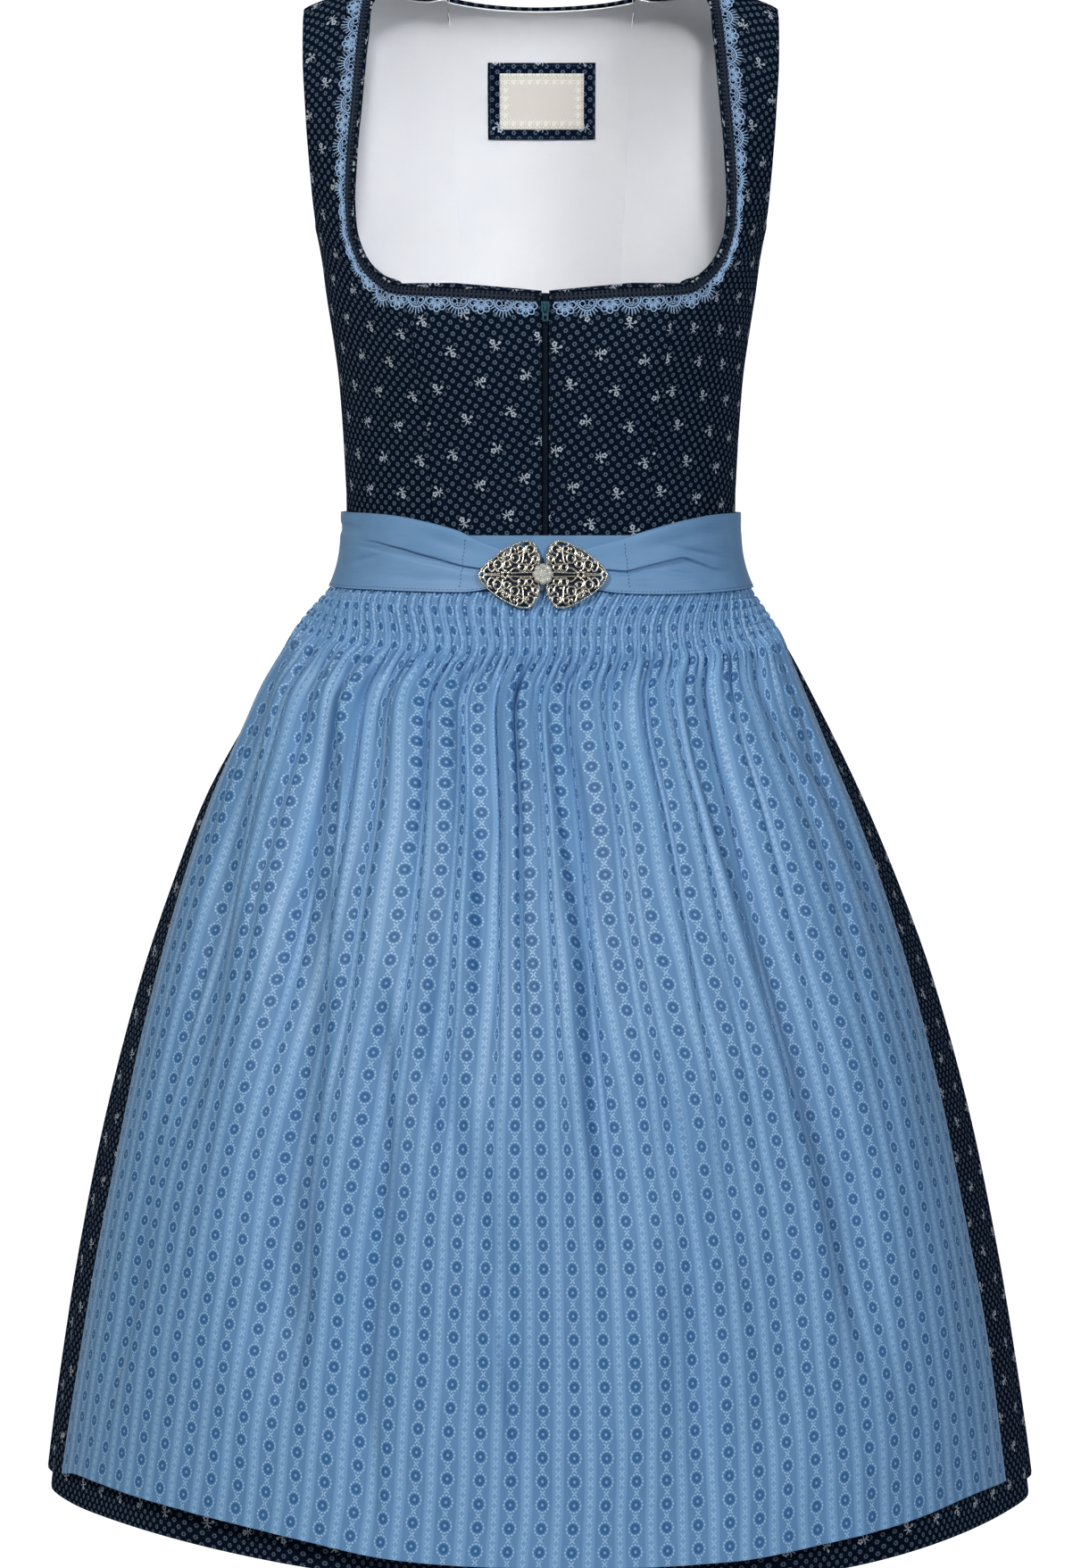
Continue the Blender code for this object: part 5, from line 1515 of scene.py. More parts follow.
def trough_depth(share, level):
    """The sum of the large troughs at places of the apron."""
    total = np.zeros_like(share)
    for first, last, depth, half_width, steep, places in TROUGHS:
        strength = eased(first, first + TROUGH_FADE, level) - eased(last - 2.4 * TROUGH_FADE, last, level)
        place = table_at(tuple(zip(TROUGH_DROPS, places)), level)[..., 0]
        place = place + 0.006 * np.sin(level / 29.0 + first)
        aside = (share - place) / half_width
        if steep:
            aside = aside / np.where(aside * steep > 0, STEEP_SHARE, GENTLE_SHARE)
        total += depth * np.maximum(strength, 0.0) * np.exp(-aside * aside)
    return total


def fold_place(share):
    """The number of the small fold at a share of the width, with how far across it the share is."""
    wandering = sum(size * np.sin(rate * share + start) for size, rate, start in FOLD_WANDERS)
    return np.clip(SMALL_FOLDS * ((share + 1) / 2 + (1 - share * share) * wandering), 0, SMALL_FOLDS)


def apron_out(share, level):
    """How far the apron's outer face stands out from the skirt, without its ribs."""
    clearance = table_at(APRON_CLEARANCE, level)[..., 0]
    middle = 1 - np.abs(share) ** APRON_EDGE_POWER
    place = fold_place(share) + 0.05 * np.sin(level / 41.0 + share * 19.0)
    across = place % 1.0
    size = 0.76 + 0.24 * np.sin(np.floor(place) * 2.1 + 0.6)
    valley = np.exp(-(across / FOLD_VALLEY) ** 2) + np.exp(-((1 - across) / FOLD_VALLEY) ** 2)
    ridge = (1 - valley) * (0.78 + 0.22 * np.sin(math.pi * across)) * (1.0 - 0.22 * (across - 0.5))
    fine = table_at(SMALL_FOLD_DEPTH, level)[..., 0] * size * ridge
    lift = table_at(APRON_LIFT, level)[..., 0] - trough_depth(fanned(share, level), level)
    soft = np.log1p(np.exp(lift)) - math.log1p(math.exp(-6.0))
    folds = soft * eased(SMOCK_END - 6.0, FOLDS_START + 20.0, level)
    slack = 0.5 * np.sin(share * 31 + level / 37) * np.sin(level / 61 + share * 9)
    return clearance + APRON_CLOTH + middle * (folds + fine) + slack * eased(600, 760, level)


def rib_height(share, level):
    """The rounded smocked ribs, pinched at each row of stitches, and the pairs below them."""
    sway = 0.10 * np.sin(level / 6.1 + share * 40) + 0.08 * np.sin(level / 3.7 - share * 67)
    place = (share + 1) / 2 * SMOCK_RIBS + sway * np.sin(math.pi * (share + 1) / 2)
    number = np.floor(place)
    size = 0.80 + 0.20 * np.sin(number * 2.4) * np.sin(number * 0.73 + 1.0)
    rib = RIB_RISE * size * np.abs(np.sin(math.pi * place)) ** 0.36
    for row in STITCH_ROWS:
        rib = rib * (1 - STITCH_PINCH * np.exp(-((level - row) / 0.9) ** 2))
    rib = rib * (1 - eased(SMOCK_END - 1.0, RIB_FADE, level))
    pair = table_at(PAIR_DEPTH, level)[..., 0] * np.abs(np.sin(math.pi * place / 2)) ** 0.7
    return rib + pair * (1 - np.abs(share) ** APRON_EDGE_POWER)


def folded_places(arc, place, share, count, valley):
    """Flat places across cloth in count folds: true to size on each, with the rest in its valleys."""
    number = np.minimum(np.floor(place), count - 1).astype(int)
    across = place - number
    edges = np.stack([np.interp(np.arange(count + 1), place[0], row) for row in arc])
    first = np.take_along_axis(edges, number, 1)
    seen = np.take_along_axis(edges, number + 1, 1) - first
    starts = (np.interp(np.arange(count + 1), place[0], share[0]) + 1) / 2 * APRON_FLAT_WIDTH
    in_valley = (eased(0.0, valley, across) + eased(1.0 - valley, 1.0, across)) / 2
    return starts[number] + (arc - first) + (np.diff(starts)[number] - seen) * in_valley


def make_jacquard():
    """Cotton and viscose jacquard: a dull ground with a figure of shinier floats."""
    material, tree, shader = new_material(
        "striped jacquard", Specular_IOR_Level=0.42, Sheen_Weight=0.10, Sheen_Roughness=0.4)
    flat = cloth_place(tree)
    drift = add_node(tree, "TexNoise", flat, sockets={"Scale": 0.016, "Detail": 1.0})
    pulled = add_node(tree, "MapRange", drift, 0.3, 0.7, -0.9, 0.9)
    place = add_node(tree, "VectorMath", flat, add_node(tree, "CombineXYZ", pulled), operation="ADD")
    in_stripe, _ = tiled(tree, place, STRIPE_PITCH, CROSS_PITCH)
    x = add_node(tree, "SeparateXYZ", in_stripe)
    from_middle = add_node(tree, "Math", x, operation="ABSOLUTE")
    stripe = add_node(tree, "MapRange", from_middle, LIGHT_STRIPE_HALF + 0.7, LIGHT_STRIPE_HALF - 0.7,
                      0.0, 1.0)
    corner = add_node(tree, "VectorMath", in_stripe, operation="ABSOLUTE")
    crosses = stroke(tree, corner, (0.5, 0.45), (1.5, 1.75), 0.36, 0.2)
    moved = add_node(tree, "VectorMath", place, (STRIPE_PITCH / 2, 0.0, 0.0), operation="ADD")
    in_ground, _ = tiled(tree, moved, STRIPE_PITCH, MEDALLION_PITCH)
    ground_corner = add_node(tree, "VectorMath", in_ground, operation="ABSOLUTE")
    half_way = (0.0, MEDALLION_PITCH / 2, 0.0)
    between = add_node(tree, "VectorMath", ground_corner, half_way, operation="SUBTRACT")
    between = add_node(tree, "VectorMath", between, operation="ABSOLUTE")
    ties = stroke(tree, between, (0.45, 0.4), (1.5, 1.5), 0.36, 0.2)
    scallops = petals(tree, in_ground, 12, 4.25, 0.78, 0.0, 0.2)
    inside = petals(tree, in_ground, 1, 0.0, 4.0, 0.0, 0.25)
    ring = without(tree, scallops, inside)
    disc = petals(tree, in_ground, 1, 0.0, 3.6, 0.0, 0.3)
    leaves = petals(tree, in_ground, 8, 2.2, 0.72, 0.0, 0.3)
    heart = petals(tree, in_ground, 1, 0.0, 0.65, 0.0, 0.3)
    ground = mottled(tree, place, 0.02, "#5c8bba", "#6292c2", 3.0)
    colour = coloured(tree, stripe, ground, "#76a5d3")
    colour = coloured(tree, disc, colour, "#3f76aa")
    colour = coloured(tree, leaves, colour, "#285f97")
    colour = coloured(tree, heart, colour, "#96bfe8")
    bright = either(tree, [crosses, ties, ring])
    colour = coloured(tree, bright, colour, "#a3cdf1")
    weave = plain_weave(tree, place, THREAD_PITCH)
    # Painted shade between the threads: the colour is darker where the weave's height is low and lighter
    # where it is high.
    thread_shade = add_node(tree, "MapRange", weave, -1.0, 1.0, 0.93, 1.05)
    colour = add_node(tree, "MixRGB", 1.0, colour, thread_shade, blend_type="MULTIPLY")
    tree.links.new(colour, shader.inputs["Base Color"])
    float_share = either(tree, [bright, add_node(tree, "Math", stripe, 0.5, operation="MULTIPLY")])
    roughness = add_node(tree, "MapRange", float_share, 0.0, 1.0, 0.55, 0.38)
    tree.links.new(roughness, shader.inputs["Roughness"])
    height = add_node(tree, "Math", weave, 0.35, float_share, operation="MULTIPLY_ADD")
    relief(tree, shader, height, 0.08, 0.6)
    return material


jacquard = make_jacquard()
apron_shares = np.linspace(-1, 1, SMOCK_RIBS * RIB_COLUMNS + 1)
apron_levels = np.concatenate([np.linspace(APRON_TOP, SMOCK_END, 27),
                               np.linspace(SMOCK_END, 520.0, 24)[1:],
                               np.linspace(520.0, APRON_HEM, 40)[1:]])
share, level = np.meshgrid(apron_shares, apron_levels)
shorter = SMOCK_SHORT * share * share * (np.minimum(level, SMOCK_END) - APRON_TOP)
drop = level - shorter * (1 - eased(SMOCK_END, SMOCK_EVEN, level))
drop = drop - table_at(APRON_HEM_RISES, share)[..., 0] * eased(APRON_HEM_RISES_FROM, APRON_HEM, level)
turn = apron_turn(fanned(share, level), drop)
smooth_out = apron_out(share, level) + fullness(turn, drop)
apron_outer = form_point(turn, drop, smooth_out + rib_height(share, level))
apron_base = form_point(turn, drop, smooth_out)
apron_inner = apron_base - grid_normals(apron_base) * APRON_CLOTH
even = form_point(turn, drop)
arcs = summed(steps_between(even, 1))
in_ribs = folded_places(arcs, (share + 1) / 2 * SMOCK_RIBS, share, SMOCK_RIBS, RIB_VALLEY)
in_folds = folded_places(arcs, fold_place(share), share, SMALL_FOLDS, SMALL_FOLD_VALLEY)
smooth = arcs * APRON_FLAT_WIDTH / arcs[:, -1:]
opened = eased(SMOCK_END - 4.0, FOLDS_START, level)
u = in_ribs * (1 - opened) + in_folds * opened
u = u + (smooth - u) * eased(560.0, 860.0, level)
v = -summed(steps_between(even[:, even.shape[1] // 2]))[:, None] + np.zeros_like(u)
apron_uv = np.stack([u, v], -1) * MM
apron = closed_cloth("apron_width", apron_outer, apron_inner, apron_uv, jacquard, 2, 3)
sewn_on(apron, "apron")

# Belt
# A narrow satin waistband carries the apron. Over it lie two wide satin bands, each laid
# in one long pleat that opens towards the side, and tacked by a row of stitches near the
# clasp. The waistband is closed by them, and their lower edges are stitched flat.
SATIN = 1.2
LAYER_GAP = 0.9
BELT_TOP = 366.0
BELT_BOTTOM = 403.5
WAISTBAND_REACH = 82.5
WAISTBAND_THICK = 0.75
WAISTBAND_CROWN = 0.25
BAND_OUT_FRONT = 2.4
BAND_OUT_BACK = 1.2
BAND_EASE = (84.0, 110.0)
BAND_SIDE_X = 131.0
BACK_ROUND = 80.0
CLASP_DROP = 391.6
BAND_START_TURN = 7.5
BAND_EDGES = (
    # distance from the centre front, top on the wearer's right, on the left, bottom on each
    (16.0, 379.0, 379.0, 396.0, 396.0),
    (26.0, 375.2, 375.6, 399.5, 399.5),
    (36.0, 371.2, 372.6, 402.6, 402.8),
    (45.0, 367.0, 370.2, 404.2, 404.6),
    (54.0, 362.8, 367.6, 404.4, 405.4),
    (65.0, 359.4, 364.2, 404.4, 406.0),
    (77.0, 356.6, 360.6, 404.2, 406.2),
    (91.0, 353.8, 357.0, 404.0, 406.2),
    (112.0, 352.0, 353.2, 403.8, 405.6),
    (131.0, 351.8, 352.2, 403.6, 404.4),
)
PLEATS_RIGHT = (
    # distance from the centre front, drop, depth, half width, rise of the cloth above
    (26.0, 390.6, 0.5, 0.6, 0.5),
    (39.8, 388.0, 1.5, 0.6, 1.1),
    (50.4, 386.2, 2.0, 0.6, 1.4),
    (66.6, 381.8, 2.6, 0.7, 1.6),
    (77.3, 379.2, 2.8, 0.8, 1.5),
    (88.1, 375.8, 2.4, 0.9, 1.3),
    (98.1, 373.5, 1.7, 1.0, 0.9),
    (107.6, 371.3, 0.8, 1.4, 0.4),
    (118.0, 370.0, 0.0, 2.0, 0.0),
)
PLEATS_LEFT = (
    # distance from the centre front, drop, depth, half width, rise of the cloth above
    (26.0, 388.4, 0.6, 0.6, 0.5),
    (43.3, 389.1, 1.5, 0.6, 1.1),
    (53.9, 389.9, 1.9, 0.6, 1.4),
    (65.3, 387.4, 2.3, 0.7, 1.6),
    (73.8, 385.3, 2.6, 0.8, 1.6),
    (84.5, 382.9, 3.0, 1.0, 1.5),
    (92.0, 382.0, 3.2, 1.3, 1.2),
    (102.5, 386.2, 2.6, 1.8, 0.8),
    (111.0, 389.8, 1.2, 2.4, 0.3),
    (122.0, 391.5, 0.0, 2.8, 0.0),
)
PLEAT_GENTLE = 4.0
PLEAT_SHARP = 0.45
SOFT_FOLDS = (
    # side, distance from the centre front, drop, half length, half width, depth, slope
    (-1, 90.0, 378.2, 22.0, 1.5, 1.5, 0.15),
    (-1, 114.0, 382.6, 11.0, 2.2, 0.9, -0.30),
    (-1, 129.0, 362.6, 11.0, 3.2, 1.6, 0.02),
    (-1, 60.0, 371.0, 18.0, 4.5, 0.8, 0.30),
    (-1, 70.0, 396.0, 34.0, 4.0, 0.6, 0.05),
    (1, 103.0, 378.0, 15.0, 2.0, 1.3, -0.24),
    (1, 88.0, 391.2, 18.0, 1.9, 1.0, -0.16),
    (1, 86.0, 370.0, 20.0, 5.0, 0.9, 0.22),
    (1, 118.0, 364.0, 14.0, 5.0, 0.8, 0.10),
    (1, 66.0, 398.0, 18.0, 2.6, 0.5, -0.03),
)
BAND_FLARE = 1.7
BELT_HEM_SHARE = 0.965


def band_out(turn, drop, share, side, beside):
    """How far a band's inner face stands out from the form, with its pleat and soft folds."""
    pleats = PLEATS_LEFT if side > 0 else PLEATS_RIGHT
    at, depth, half_width, rise = np.moveaxis(table_at(pleats, beside), -1, 0)
    away = (drop - at) / half_width
    groove = np.exp(-(away / np.where(away > 0, PLEAT_GENTLE, PLEAT_SHARP)) ** 2)
    above = rise / (1 + np.exp(np.clip(away * 5.0, -40, 40)))
    crown = np.sin(math.pi * np.clip(share, 0.02, 0.98)) ** 0.35
    out = (0.6 + above) * crown - depth * groove
    for fold_side, x, low, half_length, wide, deep, slope in SOFT_FOLDS:
        if fold_side == side:
            along = (beside - x) / half_length
            across = (drop - low + slope * (beside - x)) / wide
            out = out - deep * np.exp(-along * along - across * across)
    rest = BAND_OUT_FRONT + (BAND_OUT_BACK - BAND_OUT_FRONT) * eased(*BAND_EASE, turn)
    flare = BAND_FLARE * eased(BELT_BOTTOM - 26.0, BELT_BOTTOM + 3.0, drop)
    behind = 0.35 * np.sin(turn / 4.1 + drop / 6.0) * np.sin(turn / 9.7) * eased(95.0, 120.0, turn)
    return rest + np.maximum(out, -0.5) + flare + behind * crown


def band_heights(beside, side):
    """The drops of a band's top and bottom edges. side is 1 on the wearer's left."""
    edges = table_at(BAND_EDGES, beside)
    column = 1 if side > 0 else 0
    return edges[..., column], edges[..., column + 2]


def band_grid(turn, share, side):
    """The band's outer and inner faces at turns and shares of its height, on the +X side."""
    beside = np.where(turn < 90.0, form_point(turn, CLASP_DROP)[..., 0], BAND_SIDE_X)
    top, bottom = band_heights(beside, side)
    drop = top + (bottom - top) * share
    out = band_out(turn, drop, share, side, beside)
    return form_point(turn, drop, out + SATIN), form_point(turn, drop, out)


def make_satin():
    """Polyester satin, woven with long floats: smooth, with a broad soft gloss across."""
    material, tree, shader = new_material(
        "belt satin", Roughness=0.5, Specular_IOR_Level=0.32, Anisotropic=0.4)
    place = cloth_place(tree)
    stretched = add_node(tree, "VectorMath", place, (0.05, 2.2, 0.0), operation="MULTIPLY")
    floats = add_node(tree, "TexNoise", stretched, sockets={"Scale": 1.0, "Detail": 4.0})
    cloudy = add_node(tree, "TexNoise", place, sockets={"Scale": 0.03, "Detail": 2.0})
    mixed = add_node(tree, "Math", floats, 0.6, add_node(tree, "Math", cloudy, 0.4, operation="MULTIPLY"),
                     operation="MULTIPLY_ADD")
    colour = coloured(tree, add_node(tree, "MapRange", mixed, 0.38, 0.62, 0.0, 1.0), "#6893bf", "#749fca")
    tree.links.new(colour, shader.inputs["Base Color"])
    relief(tree, shader, floats, 0.03, 0.35)
    return material


belt_satin = make_satin()
belt_thread = make_thread("dark blue sewing thread", "#2c4262")
STITCH_LINES = (
    # side, x, drop, x, drop
    (-1, 47.8, 368.0, 51.9, 403.0),
    (1, 53.0, 370.5, 56.8, 404.0),
)
last_turn = 180.0 - math.degrees(SEAM_GAP / 2 / BACK_ROUND)
band_turns = np.concatenate([np.linspace(BAND_START_TURN, 80.0, 130),
                             np.linspace(80.0, last_turn, 70)[1:]])
band_shares = np.concatenate([[0.0, 0.004, 0.010], np.linspace(0.02, 0.98, 108), [0.990, 0.996, 1.0]])
for side, end in ((1, "_left"), (-1, "_right")):
    turn, share = np.meshgrid(band_turns, band_shares)
    outer, inner = band_grid(turn, share, side)
    hem_line, _ = band_grid(np.linspace(12.0, 174.0, 200), np.full(200, BELT_HEM_SHARE), side)
    sewn = dashes(hem_line, unit(hem_line * np.array([1.0, 1.0, 0.0])), 1.9, 0.9, 0.13, 0.10)
    for line_side, x0, drop0, x1, drop1 in STITCH_LINES:
        if line_side == side:
            f = np.linspace(0, 1, 60)
            x, drop = x0 + (x1 - x0) * f + 0.25 * np.sin(f * 21), drop0 + (drop1 - drop0) * f
            turn_here = turn_at(x, drop)
            top, bottom = band_heights(x, side)
            line, _ = band_grid(turn_here, (drop - top) / (bottom - top), side)
            sewn += dashes(line, form_normal(turn_here, drop), 1.5, 1.0, 0.2, 0.16)
    if side < 0:
        outer, inner = mirrored(outer), mirrored(inner)
    uv = flat_places(outer, outer.shape[1] // 2)
    band = closed_cloth("belt" + end + "_band", outer, inner, uv, belt_satin, 2, 2)
    sewn_on(band, "belt" + end)
    sewing = new_trim("belt" + end + "_stitches", sewn, belt_thread, side < 0)
    sewn_on(sewing)

turn, f = np.meshgrid(np.linspace(-WAISTBAND_REACH, WAISTBAND_REACH, 120), np.linspace(0, 1, 14))
drop = BELT_TOP + (BELT_BOTTOM - BELT_TOP) * f
crown = WAISTBAND_CROWN * np.sin(math.pi * f) ** 0.5
outer = form_point(turn, drop, LAYER_GAP + WAISTBAND_THICK + crown)
inner = form_point(turn, drop, LAYER_GAP)
uv = flat_places(outer, 60)
waistband = closed_cloth("apron_waistband_band", outer, inner, uv, belt_satin)
sewn_on(waistband, "apron_waistband")

# Clasp
# Two leaves of cast filigree in antique silver, oxidised and then worn bright on top: a beaded rim round
# scrolls, rings, small leaves and one flower, open between them. Where the metal faces aside it is
# painted dark, partly as patina and partly as painted shade, and a dark plate behind most openings is
# painted shade in them. They lean with the waist and meet under the glass rosette.
CLASP_X = 1.5
CLASP_OUT = 6.7
CLASP_LEAN = 13.0
CLASP_OUTLINE = (
    # across from the rosette, up from it
    (2.0, -5.6), (1.7, -10.3), (3.3, -14.3), (5.2, -18.0), (7.0, -21.2), (10.6, -22.7),
    (15.5, -22.2), (21.2, -20.2), (27.2, -16.9), (32.5, -13.5), (37.2, -9.4), (41.0, -5.2),
    (43.0, -0.5), (41.0, 4.4), (37.2, 8.7), (33.0, 12.0), (27.5, 16.6), (21.2, 19.8),
    (15.9, 22.0), (10.6, 23.1), (6.4, 21.7), (3.9, 18.4), (3.4, 15.6), (1.6, 12.0), (2.0, 6.3),
)
RIM_INSET = 0.9
RIM_WIRE = 0.62
WIRE = 0.74
WIRE_OUT = 1.05
WIRE_DEPTH = 1.0
BEAD_PITCH = 1.32
BEAD_RADIUS = 0.64
BEAD_OUT = 1.55
RING_DRAWN_IN = 0.15
CLASP_RINGS = (
    # across, up, half width, half height
    (8.6, 16.8, 2.9, 3.0),
    (18.7, 10.9, 3.0, 3.3),
    (14.2, 4.9, 2.5, 2.6),
    (30.0, 6.6, 2.8, 3.2),
    (8.9, 4.6, 2.2, 2.0),
    (24.0, 6.8, 2.0, 2.2),
    (5.2, 10.6, 1.7, 2.3),
    (24.4, 13.6, 2.0, 1.7),
    (15.2, 17.2, 2.1, 1.9),
)
CLASP_SCROLLS = (
    # across, up at points of each strand
    ((2.4, 13.6), (5.0, 12.4), (7.4, 11.2), (9.4, 12.2), (9.8, 14.0)),
    ((7.4, 11.2), (7.6, 8.8), (9.0, 7.2), (11.6, 7.2)),
    ((11.4, 15.2), (13.4, 13.6), (15.8, 12.4)),
    ((11.2, 19.0), (12.6, 16.6), (13.2, 13.8), (13.4, 10.4), (14.2, 7.6)),
    ((16.2, 7.0), (17.0, 7.6), (17.8, 8.0)),
    ((16.6, 4.2), (18.8, 4.4), (20.8, 3.2), (22.0, 1.8)),
    ((21.6, 10.4), (23.4, 9.0), (26.6, 9.2), (28.4, 8.8)),
    ((21.2, 13.0), (21.8, 15.6), (20.6, 18.4)),
    ((26.0, 8.0), (26.8, 5.4), (26.4, 3.0)),
    ((31.6, 3.9), (33.4, 2.2), (35.2, 2.8), (36.4, 5.4), (36.0, 8.4)),
    ((36.4, 5.4), (38.2, 4.0), (39.2, 2.0), (38.6, 0.0)),
    ((29.4, 9.8), (30.2, 11.6), (31.0, 12.6)),
    ((8.4, 19.8), (9.0, 21.2), (10.2, 22.2)),
    ((16.4, 19.0), (17.4, 20.4), (18.2, 21.0)),
    ((2.6, 7.4), (4.6, 7.2), (6.8, 6.0)),
)
CLASP_LEAVES = (
    # from across, up, to across, up, half width
    (24.6, 10.4, 28.2, 14.0, 0.85),
    (25.2, 9.8, 29.6, 11.8, 0.75),
    (23.8, 10.6, 24.2, 15.0, 0.75),
    (10.6, 18.0, 12.6, 14.6, 0.85),
    (3.6, 17.0, 5.6, 13.8, 0.75),
    (18.6, 14.6, 19.2, 18.8, 0.80),
    (17.8, 14.4, 14.8, 15.2, 0.70),
    (10.2, 9.6, 13.0, 8.6, 0.80),
    (20.6, 7.8, 22.8, 4.6, 0.75),
    (28.6, 1.6, 32.2, 3.6, 0.80),
    (32.6, 7.0, 33.4, 4.4, 0.70),
    (33.4, 9.6, 35.4, 6.6, 0.75),
    (12.0, 4.6, 11.4, 2.0, 0.65),
    (15.6, 6.4, 15.4, 3.4, 0.65),
    (19.8, 12.4, 19.8, 9.6, 0.75),
    (9.8, 17.6, 9.6, 15.2, 0.75),
    (31.2, 7.6, 30.9, 5.4, 0.70),
)
# The plate behind the openings is painted shade, standing for the shade in the open filigree.
SHADE_PLATE_REACH = (5.0, 35.5)
SHADE_PLATE_INSET = 3.0
SHADE_PLATE_OUT = (0.35, 0.0)
CLASP_FLOWER = (25.0, 0.0)
FLOWER_PETALS = 6
TIP_LOOP = ((38.2, 0.0), (40.3, 2.1), (42.4, 0.0), (40.3, -2.1))


def on_clasp(spots):
    """Places for across, up and out on the clasp, and the way it faces there."""
    x, up, out = np.moveaxis(np.asarray(spots, float), -1, 0)
    turn = turn_at(x, CLASP_DROP, CLASP_OUT)
    outward = form_normal(turn, CLASP_DROP) * np.array([1.0, 1.0, 0.0])
    outward = unit(outward)
    lean = math.radians(CLASP_LEAN)
    upward = np.array([0, 0, math.cos(lean)]) - outward * math.sin(lean)
    forward = np.array([0, 0, math.sin(lean)]) + outward * math.cos(lean)
    middle = form_point(turn, CLASP_DROP) + outward * CLASP_OUT
    return middle + upward * up[..., None] + forward * out[..., None], forward


def rounded(points, count, closed=False):
    """A smooth line through points."""
    points = np.asarray(points, float)
    if closed:
        points = np.concatenate([points[-2:], points, points[:3]])
        at = np.linspace(2, len(points) - 3, count + 1)[:-1]
    else:
        at = np.linspace(0, len(points) - 1, count)
    return table_at(np.column_stack([np.arange(len(points)), points]), at)


def beads(centres, radius):
    """Small balls at places, as points, faces and flat places."""
    ball = bpy.data.meshes.new("ball")
    shape = bmesh.new()
    bmesh.ops.create_icosphere(shape, subdivisions=2, radius=radius)
    shape.to_mesh(ball)
    shape.free()
    points = np.array([v.co[:] for v in ball.vertices])
    faces = [list(face.vertices) for face in ball.polygons]
    bpy.data.meshes.remove(ball)
    return [(points + centre, faces, points[:, :2] * MM) for centre in centres]


def wire(spots, radius, side, depth=WIRE_DEPTH, closed=False, sides=8):
    """A wire of the filigree along across, up and out, on either leaf."""
    placed = np.asarray(spots, float).copy()
    placed[:, 0] = CLASP_X + side * placed[:, 0]
    path, forward = on_clasp(placed)
    return cord(path, forward, radius, depth, sides, closed)


def lifted(line, out=WIRE_OUT):
    """A line of the clasp's chart with its distance from the plate."""
    return np.column_stack([line, np.broadcast_to(out, len(line))])


def clasp_leaf(side):
    """All the wires, leaves and beads of one leaf. side is 1 on the wearer's left."""
    parts = []
    outline = rounded(CLASP_OUTLINE, 150, closed=True)
    way = np.roll(outline, -1, 0) - np.roll(outline, 1, 0)
    inward = unit(np.stack([-way[:, 1], way[:, 0]], -1))
    rim = outline + inward * RIM_INSET
    parts.append(wire(lifted(rim, 0.9), RIM_WIRE, side, 0.85, closed=True))
    line = spaced(np.column_stack([np.vstack([rim, rim[:1]]), np.zeros(len(rim) + 1)]), BEAD_PITCH)[:-1]
    line[:, 2] = BEAD_OUT
    line[:, 0] = CLASP_X + side * line[:, 0]
    parts += beads(on_clasp(line)[0], BEAD_RADIUS)
    for half in (1, -1):
        mirror = np.array([1.0, half])
        for x, up, wide, high in CLASP_RINGS:
            ring = arc(x, up, wide - RING_DRAWN_IN, high - RING_DRAWN_IN, 0, 360 * 17 / 18, 18) * mirror
            parts.append(wire(lifted(ring), WIRE, side, closed=True))
        for points in CLASP_SCROLLS:
            line = rounded(points, 5 * len(points)) * mirror
            parts.append(wire(lifted(line, WIRE_OUT + 0.08), WIRE, side))
        for x0, up0, x1, up1, half_width in CLASP_LEAVES:
            f = np.linspace(0, 1, 8)
            line = np.stack([x0 + (x1 - x0) * f, up0 + (up1 - up0) * f], -1) * mirror
            swell = 1.25 * half_width * np.sin(math.pi * np.clip(f, 0.04, 0.96)) ** 0.8
            parts.append(wire(lifted(line, WIRE_OUT + 0.25), swell, side, swell * 1.15))
        row = np.array([(CLASP_X + side * x, half * 1.5, BEAD_OUT) for x in np.arange(6.8, 13.4, 1.3)])
        parts += beads(on_clasp(row)[0], BEAD_RADIUS * 0.85)
    for k in range(FLOWER_PETALS):
        angle = math.radians(60 * k + 30)
        far = np.linspace(0.9, 3.5, 9)
        line = np.array(CLASP_FLOWER) + far[:, None] * np.array([math.cos(angle), math.sin(angle)])
        swell = 1.3 * np.sqrt(np.maximum(1 - ((far - 2.2) / 1.4) ** 2, 0.02))
        parts.append(wire(lifted(line, 1.1 + 0.25 * far), swell, side, 0.7 * swell + 0.1))
    parts.append(wire(lifted(rounded(TIP_LOOP, 16, closed=True)), 0.75, side, closed=True))
    for y in (0.9, -0.9):
        bars = (((3.0, y * 1.6), (8.0, y * 1.7), (13.0, y * 1.6), (18.0, y * 1.3), (21.4, y)),
                ((28.4, y * 0.7), (32.0, y * 0.6), (38.4, y * 0.3)))
        for bar, count in zip(bars, (22, 14)):
            parts.append(wire(lifted(rounded(bar, count)), RIM_WIRE, side))
    return parts


